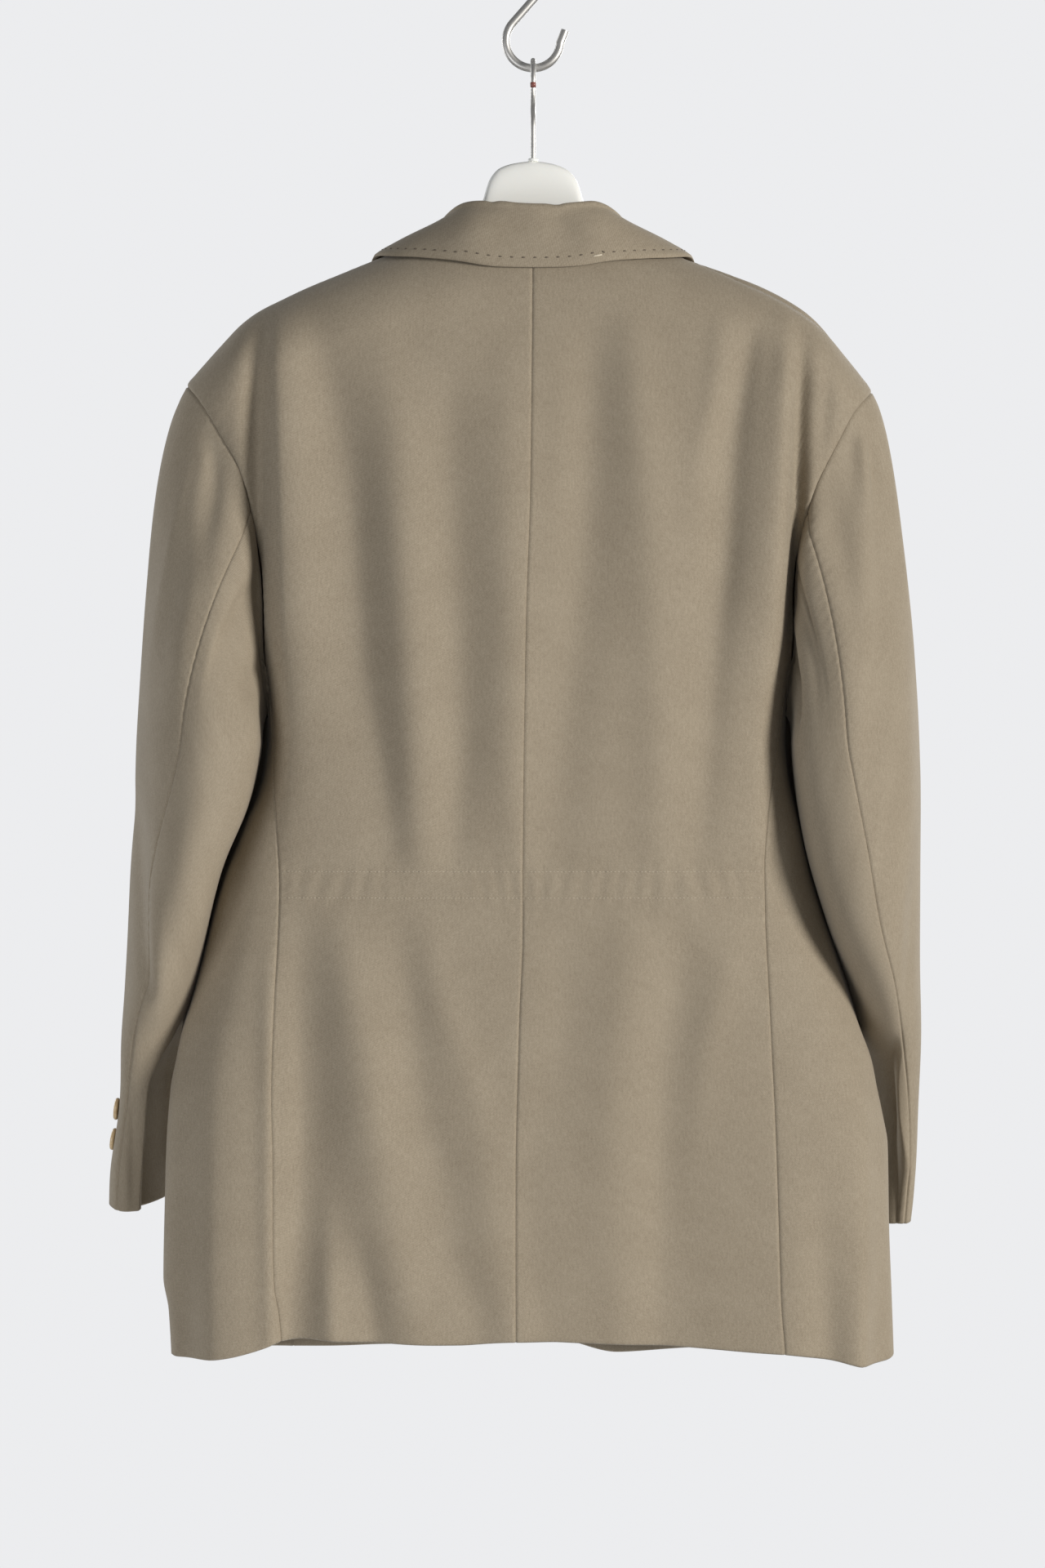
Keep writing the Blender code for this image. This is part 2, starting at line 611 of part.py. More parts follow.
def armhole_loop(side):
    """(point, normal, tangent) round the armhole, at the rows of the back and of the front."""
    shoulder = ARMHOLE[side][0][0]
    drops = [UNDERARM_SEAM + (shoulder - UNDERARM_SEAM) * share for share in UPPER_ROWS]
    loop = [armhole_point(side, 1, drop) for drop in drops[SLEEVE_BACK_SEAM_ROW:]]
    loop += [armhole_point(side, -1, drop) for drop in drops[:-1][::-1]]
    loop += [underarm_point(side, 1 - k / SIDE_COLUMNS) for k in range(1, SIDE_COLUMNS + 1)]
    loop += [armhole_point(side, 1, drop) for drop in drops[1:SLEEVE_BACK_SEAM_ROW]]
    found = []
    for k, (point, normal) in enumerate(loop):
        ahead, behind = loop[(k + 1) % len(loop)][0], loop[k - 1][0]
        found.append((point, normal, unit(add(ahead, behind, -1))))
    return found


def sleeve_top_columns():
    """How many columns of the loop lie from the back seam over the shoulder to the front seam."""
    rows = len(UPPER_ROWS) - 1
    return (rows - SLEEVE_BACK_SEAM_ROW) + (rows - SLEEVE_FRONT_SEAM_ROW)


def sleeve_section(side, drop):
    return [smooth(SLEEVE_SECTIONS[side], drop, k) for k in (1, 2, 3, 4, 5)]


def sleeve_point(side, drop, angle):
    outer, short, long, middle, lean = sleeve_section(side, drop)
    lean = math.radians(lean)
    reach = math.hypot(long * math.sin(lean), short * math.cos(lean))
    x = outer - reach - long * math.sin(lean) * math.cos(angle) + short * math.cos(lean) * math.sin(angle)
    y = middle - long * math.cos(lean) * math.cos(angle) - short * math.sin(lean) * math.sin(angle)
    return (side * x, y, -drop)


def back_seam_angle(side, drop):
    outer, short, long, _, lean = sleeve_section(side, drop)
    lean = math.radians(lean)
    reach = math.hypot(long * math.sin(lean), short * math.cos(lean))
    start = math.atan2(long * math.sin(lean), short * math.cos(lean))
    off = (smooth(SLEEVE_SEAM[side], drop) - outer + reach) / reach
    return start + math.asin(max(-1.0, min(off, 1.0)))


def sleeve_angles(side, drop, count):
    """The angle of every column at this drop, from the back seam round the outside and back."""
    start = back_seam_angle(side, drop)
    front = math.radians(SLEEVE_FRONT_SEAM_ANGLE)
    top = sleeve_top_columns()
    angles = [start + (front - start) * k / top for k in range(top)]
    end = start + 2 * math.pi
    return angles + [front + (end - front) * k / (count - top) for k in range(count - top)]


def away_from_body(side, normal, tangent):
    """The way along the cloth that leads out over the armhole's edge."""
    away = unit(cross(normal, tangent))
    return away if side < 0 else tuple(-c for c in away)


def cap_column(side, start, normal, away, end):
    """A curve from the armhole's edge, over the sleeve's head, down to the bicep section."""
    share = ease((-start[2] - ARMHOLE[side][0][0]) / (UNDERARM - ARMHOLE[side][0][0]))
    direction = add(tuple(c * (1 - 0.75 * share) for c in away), normal, ease(1.3 * share))
    droop = 0.1 * (1 - share) ** 2 + 1.1 * math.sin(math.pi * min(share * 1.25, 1.0)) ** 2
    direction = unit(add(direction, (0, 0, -1), droop))
    start = add(start, away, 2.4 * HALF_GAP)
    span = math.dist(start, end)
    one = add(start, direction, max((0.134 + 0.086 * share) * span, 5.0))
    lean = 0.03 * (1 - share) ** 2
    two = add(end, unit((-side * lean, 0, 1)), max((0.405 - 0.02 * share) * span, 9.0))
    column = []
    for t in CAP_ROWS:
        weights = ((1 - t) ** 3, 3 * t * (1 - t) ** 2, 3 * t * t * (1 - t), t**3)
        column.append(
            tuple(sum(w * p[k] for w, p in zip(weights, (start, one, two, end))) for k in range(3))
        )
    return column


def sleeve_grid(side):
    loop = armhole_loop(side)
    count = len(loop)
    columns = []
    for (point, normal, tangent), angle in zip(loop, sleeve_angles(side, SLEEVE_BICEP, count)):
        end = sleeve_point(side, SLEEVE_BICEP, angle)
        away = away_from_body(side, normal, tangent)
        columns.append(cap_column(side, point, normal, away, end))
    for drop in SLEEVE_ROWS:
        for column, angle in zip(columns, sleeve_angles(side, drop, count)):
            column.append(sleeve_point(side, drop, angle))
    low, rise = CUFF[side]
    for column, angle in zip(columns, sleeve_angles(side, low, count)):
        point = sleeve_point(side, low, angle)
        column.append((point[0], point[1], -low + rise * (point[1] - 10)))
    grid = [[column[r] for column in columns] for r in range(len(columns[0]))]
    return grid, [(normal, away_from_body(side, normal, tangent)) for _, normal, tangent in loop]


def ring_normals(grid, side, first):
    """Outward normals of a tube of rings; the first ring's wall stands beside the armhole's rim."""
    normals = []
    rows, columns = len(grid), len(grid[0])
    for r in range(rows):
        line = []
        for c in range(columns):
            round_ = add(grid[r][(c + 1) % columns], grid[r][c - 1], -1)
            down = add(grid[min(r + 1, rows - 1)][c], grid[max(r - 1, 0)][c], -1)
            normal = unit(cross(round_, down))
            line.append(normal if side < 0 else tuple(-n for n in normal))
        normals.append(line)
    for c, (body, away) in enumerate(first):
        own = normals[0][c]
        turn = sum(p * q for p, q in zip(own, away))
        normals[0][c] = unit(add(body, own)) if turn < 0 else body
    return normals


def sleeve(side):
    grid, first = sleeve_grid(side)
    normals = ring_normals(grid, side, first)
    word = "left" if side < 0 else "right"
    count = len(grid[0])
    pieces = (
        ("top", range(0, sleeve_top_columns() + 1)),
        ("under", range(sleeve_top_columns(), count + 1)),
    )
    for piece, columns in pieces:
        columns = [c % count for c in columns]
        sheet = [[line[c] for c in columns] for line in grid]
        sheet_normals = [[line[c] for c in columns] for line in normals]
        for line in sheet:
            line[0] = add(line[0], unit(add(line[1], line[0], -1)), HALF_GAP)
            line[-1] = add(line[-1], unit(add(line[-2], line[-1], -1)), HALF_GAP)
        shell(f"sleeve_{word}_{piece}", sheet, sheet_normals, wool)


def neck_base(side, along):
    """The collar's foot: just above the neck's seam, at the middle of the cloth's wall."""
    if along < 0.68:
        out = 80 * math.sin(math.pi / 2 * along / 0.68)
        x, s = side * out, s_at(side * out, smooth(BACK_NECK, out))
    else:
        rows = [(i, *row) for i, row in enumerate(FRONT_NECK)]
        place = (along - 0.68) / 0.32 * (len(rows) - 1)
        out, drop = smooth(rows, place, 1), smooth(rows, place, 2)
        x, s = side * out, -s_at(side * out, drop)
    point, normal = skin(x, s), skin_normal(x, s)
    point = add(point, normal, -WALL / 2)
    inward = (-side * 1.6 * ease((along - 0.45) / 0.3), 0.0, 0.0)
    return add(add(point, inward), (0, 0, 1), 1.6 + 0.9 * ease(along / 0.6))


def collar_line(side, along):
    """The middle line of the folded collar in one upright section, from foot to edge."""
    top_x, top_drop, top_y, edge_x, edge_s, over = (smooth(COLLAR, along, k) for k in range(1, 7))
    foot = neck_base(side, along)
    top = (side * top_x, top_y, -top_drop)
    edge = skin(side * edge_x, edge_s)
    edge = add(edge, skin_normal(side * edge_x, edge_s), over + COLLAR_WALL / 2)
    out = unit((edge[0] - foot[0], edge[1] - foot[1], 0.0))
    if along < 0.05:
        out = (0.0, -1.0, 0.0)
    r = COLLAR_FOLD_RADIUS
    line = [add(foot, add(add(top, (0, 0, 1), -r), foot, -1), t) for t in (0.0, 0.35, 0.7, 1.0)]
    centre = add(add(top, out, r), (0, 0, 1), -r)
    for k in range(1, 5):
        angle = math.pi * k / 4
        turned = add((0, 0, 0), out, -r * math.cos(angle))
        line.append(add(add(centre, turned), (0, 0, 1), r * math.sin(angle)))
    start = line[-1]
    for t in (0.2, 0.4, 0.6, 0.8, 1.0):
        point = add(start, add(edge, start, -1), t)
        bow = 2.6 * math.sin(math.pi * t)
        line.append(add(add(point, out, bow * 0.6), (0, 0, 1), bow * 0.8 * ease(along / 0.4)))
    return line, out


def collar_ring(side, along):
    line, out = collar_line(side, along)
    left, right = [], []
    for i, point in enumerate(line):
        ahead = add(line[min(i + 1, len(line) - 1)], line[max(i - 1, 0)], -1)
        flat = (sum(p * q for p, q in zip(ahead, out)), ahead[2])
        length = math.hypot(*flat) or 1.0
        normal = add(tuple(c * -flat[1] / length for c in out), (0, 0, 1), flat[0] / length)
        left.append(add(point, normal, COLLAR_WALL / 2))
        right.append(add(point, normal, -COLLAR_WALL / 2))
    return left + right[::-1]


def loft(name, rings, material):
    """A solid through closed rings of equally many points, capped at both ends."""
    size = len(rings[0])
    points = [p for ring in rings for p in ring]
    faces = []
    for r in range(len(rings) - 1):
        for c in range(size):
            a, b = r * size + c, r * size + (c + 1) % size
            faces.append((a, b, b + size, a + size))
    last = (len(rings) - 1) * size
    half = size // 2
    for i in range(half - 1):
        quad = (i, i + 1, size - 2 - i, size - 1 - i)
        faces.append(tuple(reversed(quad)))
        faces.append(tuple(last + q for q in quad))
    return mesh_object(name, points, faces, material)


def collar():
    rings = [collar_ring(LEFT, 1 - k / COLLAR_STATIONS) for k in range(COLLAR_STATIONS)]
    rings += [collar_ring(RIGHT, k / COLLAR_STATIONS) for k in range(COLLAR_STATIONS + 1)]
    loft("collar", rings, wool)


def waist_casing():
    rows = []
    for k in range(3):
        drop = CASING[0] + (CASING[1] - CASING[0]) * k / 2
        line = []
        for c in range(25):
            x = smooth(SIDE_SEAM[LEFT], drop) + 4
            x += (smooth(SIDE_SEAM[RIGHT], drop) - 8 - smooth(SIDE_SEAM[LEFT], drop)) * c / 24
            line.append((x, s_at(x, drop)))
        rows.append(line)
    sheet = [[skin(x, s) for x, s in line] for line in rows]
    normals = [[skin_normal(x, s) for x, s in line] for line in rows]
    shell("waist_casing", sheet, normals, wool, outer=-(WALL + 0.35), inner=WALL + 1.35)


def hanger_body():
    rings = []
    for x, top, height, depth in HANGER:
        ring = []
        for k in range(12):
            angle = 2 * math.pi * k / 12 + math.pi / 12
            c, s = math.cos(angle), math.sin(angle)
            ring.append((x, depth * c, -top - height / 2 + height / 2 * s / math.cos(math.pi / 12)))
        rings.append(ring)
    loft("hanger_body", rings, plastic)


def wire(name, path, radius, material, sides=2):
    curve = bpy.data.curves.new(name, "CURVE")
    curve.dimensions = "3D"
    curve.bevel_depth = radius * MM
    curve.bevel_resolution = sides
    curve.use_fill_caps = True
    spline = curve.splines.new("POLY")
    spline.points.add(len(path) - 1)
    for place, point in zip(spline.points, path):
        place.co = (*[c * MM for c in point], 1.0)
    curve.materials.append(material)
    obj = bpy.data.objects.new(name, curve)
    blazer.objects.link(obj)
    return obj


def arc(centre, radius, start, end, steps):
    """Points (across, z) of an arc, in degrees, counted anticlockwise from the right."""
    found = []
    for k in range(steps + 1):
        angle = math.radians(start + (end - start) * k / steps)
        found.append((centre[0] + radius * math.cos(angle), centre[1] + radius * math.sin(angle)))
    return found


def s_hook():
    """Two bowls one above the other, joined by the straight that touches both inside."""
    upper = (0.0, S_HOOK_WIRE - S_HOOK_BOWL)
    lower = (0.0, upper[1] - S_HOOK_BOWL_SPACING)
    lean = math.degrees(math.asin(2 * S_HOOK_BOWL / S_HOOK_BOWL_SPACING))
    bowl = arc(lower, S_HOOK_BOWL, -4, -180 - lean, 20)
    top = arc(upper, S_HOOK_BOWL, -lean, 176, 20)
    tip, end = bowl[0], top[-1]
    path = [(tip[0] + 3.4, tip[1] + 8.6), *bowl, *top, (end[0] - 3.4, end[1] - 8.6)]
    wire("s_hook", [(x, 0.0, z) for x, z in path], S_HOOK_WIRE, steel)


def hanger_hook():
    """The hanger's hook lies across the S-hook, with its tip towards the viewer."""
    rest = 2 * (S_HOOK_WIRE - S_HOOK_BOWL) - S_HOOK_BOWL_SPACING
    top = rest + 0.3 + HANGER_WIRE
    path = [(0.0, -157.3), (0.0, -134.0), (0.5, -129.5), (2.2, -125.8)]
    path += arc((0.0, top - HANGER_HOOK_BEND), HANGER_HOOK_BEND, -70, 184, 24)
    wire("hanger_hook", [(0.0, y, z) for y, z in path], HANGER_WIRE, steel)


def button(name, centre, facing, radius, thickness):
    """A round button with a raised rim and a dished middle, its back at the centre point."""
    facing = unit(facing)
    side = unit(cross(facing, (0.0, 0.0, 1.0)))
    up = cross(side, facing)
    profile = ((0.0, 0.0), (0.9, 0.0), (1.0, 0.5), (0.9, 1.0), (0.72, 0.96), (0.62, 0.7), (0.0, 0.68))
    sectors = 16
    points = []
    for r, h in profile:
        for k in range(1 if r == 0 else sectors):
            angle = 2 * math.pi * k / sectors
            p = add(centre, facing, h * thickness)
            p = add(p, side, r * radius * math.cos(angle))
            points.append(add(p, up, r * radius * math.sin(angle)))
    faces = []
    for k in range(sectors):
        nxt = (k + 1) % sectors
        faces.append((0, 1 + k, 1 + nxt))
        for ring in range(len(profile) - 3):
            a, b = 1 + ring * sectors + k, 1 + ring * sectors + nxt
            faces.append((a, a + sectors, b + sectors, b))
        last = 1 + (len(profile) - 3) * sectors
        faces.append((last + k, len(points) - 1, last + nxt))
    return mesh_object(name, points, faces, horn)


def buttons():
    for k, drop in enumerate(FRONT_BUTTON_DROPS):
        x = -0.5
        s = -s_at(x, drop)
        normal = skin_normal(x, s, True)
        place = add(skin(x, s, True), normal, 1.7 - 1.2 * k)
        button(f"front_button_{k + 1}", place, normal, 10.5, 3.6)
    for side, word in ((LEFT, "left"), (RIGHT, "right")):
        for k, (drop, angle) in enumerate(CUFF_BUTTONS[side]):
            angle = math.radians(angle)
            point = sleeve_point(side, drop, angle)
            ahead, behind = (sleeve_point(side, drop, angle + turn) for turn in (0.05, -0.05))
            below, above = (sleeve_point(side, drop + fall, angle) for fall in (2, -2))
            normal = unit(cross(add(ahead, behind, -1), add(below, above, -1)))
            normal = normal if side < 0 else tuple(-n for n in normal)
            place = add(point, normal, CUFF_BUTTON_LIFT[side])
            button(f"cuff_button_{word}_{k + 1}", place, normal, 7.8, 3.0)


def principled(name, colour, roughness, metallic=0.0):
    material = bpy.data.materials.new(name)
    material.use_nodes = True
    shader = material.node_tree.nodes["Principled BSDF"]
    shader.inputs["Base Color"].default_value = (*colour, 1.0)
    shader.inputs["Roughness"].default_value = roughness
    shader.inputs["Metallic"].default_value = metallic
    return material


for old in list(bpy.data.objects):
    bpy.data.objects.remove(old, do_unlink=True)
blazer = bpy.data.collections.new("blazer_on_hanger")
bpy.context.scene.collection.children.link(blazer)
wool = principled("taupe_twill", (0.30, 0.25, 0.19), 0.85)
plastic = principled("white_plastic", (0.78, 0.78, 0.74), 0.35)
steel = principled("brushed_steel", (0.55, 0.55, 0.55), 0.3, 1.0)
horn = principled("amber_horn", (0.58, 0.38, 0.18), 0.3)

for half in (LEFT, RIGHT):
    back_panel(half)
    side_panel(half)
    front_panel(half)
    sleeve(half)
collar()
waist_casing()
hanger_body()
hanger_hook()
s_hook()
buttons()
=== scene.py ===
"""Looks of the blazer on its hanger and S-hook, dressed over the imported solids.

The frame is the part's: metres, +Z up, the back faces -Y, the origin is the inner top of the
S-hook's upper bowl. Tables are in millimetres: "drop" is the distance below the origin, "x" is
across, "s" runs over the shoulder, positive down the back and negative down the front.
"""

import math

import bmesh
import bpy
import numpy as np
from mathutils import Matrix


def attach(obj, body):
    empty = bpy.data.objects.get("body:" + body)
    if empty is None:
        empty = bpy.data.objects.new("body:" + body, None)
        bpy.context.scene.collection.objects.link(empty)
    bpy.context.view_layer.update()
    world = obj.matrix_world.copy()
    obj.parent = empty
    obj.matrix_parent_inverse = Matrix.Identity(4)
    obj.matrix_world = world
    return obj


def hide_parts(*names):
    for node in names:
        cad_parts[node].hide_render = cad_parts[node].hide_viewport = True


MM = 0.001
# Thickness of the cloth and of the collar's doubled cloth, and half the gap at a seam
WALL, COLLAR_WALL, GAP = 1.6, 2.4, 0.12
LEFT, RIGHT = -1, 1
WORD = {LEFT: "left", RIGHT: "right"}

# Radius over the shoulder, power of the body's oval section, drop where the roll line ends
SHOULDER_ROUNDING, SECTION_POWER, CHEST_BREAK = 55.0, 2.8, 572.0
# Drops of the side panel's upper corners, of its top's middle, and where the sleeve's cap ends
UNDERARM_SEAM, UNDERARM, SLEEVE_BICEP = 505.0, 545.0, 566.0
# Drops of the hem: at the centre back, about the side seam, and at the front's side seam
CENTRE_HEM, BACK_LOW, FRONT_LOW = 970.8, 975.0, 992.0
# Where neck and shoulder seams meet, from the middle; drops of the neck at the back and front
NECK_SIDE, BACK_NECK_DROP, FRONT_NECK_DROP = 80.0, 226.0, 262.0
# Hem and cuffs are turned up inside: height of the turn-up and what it adds to the wall
TURN_UP, TURN_UP_WALL, TURN_UP_EDGE = 34.0, 1.1, 1.5

# x, drop of the shoulder's ridge
RIDGE = (
    (-300, 385), (-241.7, 314.1), (-228, 298.7), (-216.6, 286.1), (-202.9, 271.8), (-191.5, 263.3),
    (-174.4, 254.6), (-157.9, 246.8), (-134.5, 237.1), (-109.4, 226.9), (-80, 216), (-40, 204), (0, 200),
    (40, 204), (80, 216.8), (112.3, 228.6), (137.9, 237.7), (159.6, 246.2), (184.7, 259.9), (201.8, 274.7),
    (216.6, 293), (236.5, 318.1), (300, 400),
)
# drop, half-width of the body's section
HALF_WIDTH = {
    LEFT: (
        (200, 290), (300, 275), (314, 264), (340, 245), (366, 229), (394, 217), (440, 207), (480, 200),
        (505, 190.5), (530, 185.3), (560, 184.4), (585, 187.5), (600, 192), (616, 199), (635, 206),
        (652, 213), (678, 221), (710, 229), (739, 236.5), (766, 245), (785, 249), (803, 252.5), (843, 255.5),
        (878, 256.5), (935, 257.6), (957, 254), (1010, 251),
    ),
    RIGHT: (
        (200, 285), (300, 268), (318, 257), (340, 240), (366, 226), (394, 213), (440, 202), (480, 194),
        (505, 183.5), (530, 177), (560, 175), (585, 177.5), (600, 180.5), (623, 186), (650, 191.5),
        (676, 199), (700, 207), (731, 217), (760, 227), (785, 236), (803, 239.5), (822, 243.5), (843, 247),
        (900, 248), (945, 249.7), (1010, 252),
    ),
}
# drop, depth of the back and of the front from the middle plane
BACK_DEPTH = (
    (190, 52), (226, 56), (260, 61), (320, 67), (400, 70), (500, 70), (600, 67), (660, 59), (700, 61),
    (760, 64), (860, 66), (1010, 66),
)
FRONT_DEPTH = (
    (190, 46), (226, 50), (260, 57), (320, 66), (400, 72), (500, 72), (600, 68), (700, 65), (800, 65),
    (1010, 67),
)
# drop, x of the centre back seam
CENTRE_BACK = (
    (200, -0.3), (300, -1), (392, -1.9), (475, -4.6), (631, -6.9), (698, -7.4), (753, -9.6), (865, -11.9),
    (1010, -11.9),
)
# drop, x of the armhole's edge, down to the seam of the side panel
ARMHOLE = {
    LEFT: (
        (314.1, -241.7), (318, -239), (326, -232.6), (337.7, -224.7), (357.5, -212.8), (371.6, -204.4),
        (386.3, -198.1), (396.4, -195.3), (420, -190.5), (450, -187.6), (480, -186.6), (505, -186.5),
    ),
    RIGHT: (
        (318.1, 236.5), (322, 234), (329.3, 227.4), (338.3, 220.6), (356.9, 210.6), (373.3, 201.9),
        (389.6, 194), (406.6, 187.3), (416.2, 184.6), (440, 180.6), (470, 179), (505, 179.5),
    ),
}
# drop, x of the seam between back and side panel
SIDE_SEAM = {
    LEFT: (
        (505, -186.5), (524, -184), (558.6, -180.6), (594.5, -178.8), (623, -176.2), (664, -174.2),
        (701, -175.3), (737, -177), (803, -178.7), (851, -177.4), (910, -177), (936, -176), (953, -173.2),
        (975, -171.4), (1010, -171),
    ),
    RIGHT: (
        (505, 179.5), (533, 173.6), (558.6, 169.6), (587, 165.3), (616, 161.3), (650, 159.1), (687, 159.4),
        (730, 161.1), (782, 163.1), (810, 164.4), (883, 166.7), (947, 168.6), (981, 171.1), (1010, 171.6),
    ),
}
# x, drop of the back's hem
BACK_HEM = (
    (-176, 972.5), (-157, 969.7), (-123, 971.3), (-86, 972.4), (-50, 973), (-12, 970.8), (13, 970.8),
    (28, 971.3), (88, 973.6), (113, 975.2), (159, 978.6), (176, 979.6),
)
# share of the side panel's width from back to front, drop of its hem
SIDE_HEM = {
    LEFT: ((0, 976), (0.06, 981), (0.2, 985.5), (0.35, 987), (0.5, 988.2), (0.7, 990), (1, 992)),
    RIGHT: ((0, 980), (0.1, 984), (0.25, 989.5), (0.4, 989), (0.5, 987), (0.7, 989), (1, 992)),
}
# distance from the centre front, drop of the front's hem
FRONT_HEM = {
    LEFT: (
        (-19.5, 940), (-16.5, 950), (-8, 961), (0, 969), (14, 978), (35, 985), (70, 991), (129, 993),
        (180, 992),
    ),
    RIGHT: (
        (-19.5, 944), (-16.5, 955), (-8, 967), (0, 974), (14, 984), (31, 991), (61, 997.5), (97, 996),
        (180, 992),
    ),
}
# drop, distance of the roll line from the centre front; below the break it runs down the front's edge
ROLL_LINE = ((262, 42), (572, -16.5), (960, -16.5), (1010, -16.5))
# drop of the roll line, width of the lapel beyond it, and of the last strip of the front's edge
LAPEL_WIDTH = (
    (262, 86), (310, 82), (380, 67), (460, 44), (505, 26), (532, 13), (552, 6), (572, 3), (1010, 3),
)
# Shares of the lapel's width where it has points, from its free edge to the roll line
LAPEL_SHARES = (1, 0.985, 0.95, 0.9, 0.82, 0.73, 0.64, 0.55, 0.46, 0.38, 0.3, 0.23, 0.17, 0.12, 0.07, 0.03)
# drop, height of the upper front over the lower one: more where it covers the lower lapel
UPPER_LIFT = ((390, 0), (455, 10.5), (548, 11), (568, 7.5), (590, 3.3), (1010, 3.3))
# distance from the centre back, drop of the neck's seam
BACK_NECK = ((0, 226.0), (30, 225.4), (50, 223.6), (66, 220.6), (80, 216.9))
FRONT_NECK = ((80, 216.9), (74, 226), (66, 236), (56, 247), (42, 262))
# x, arc from the ridge to the right shoulder's seam, which lies a little behind the ridge
SHOULDER_SEAM = ((-260, 0), (60, 0), (95, 6), (125, 14), (150, 24), (185, 25), (205, 14), (236, 2), (260, 0))

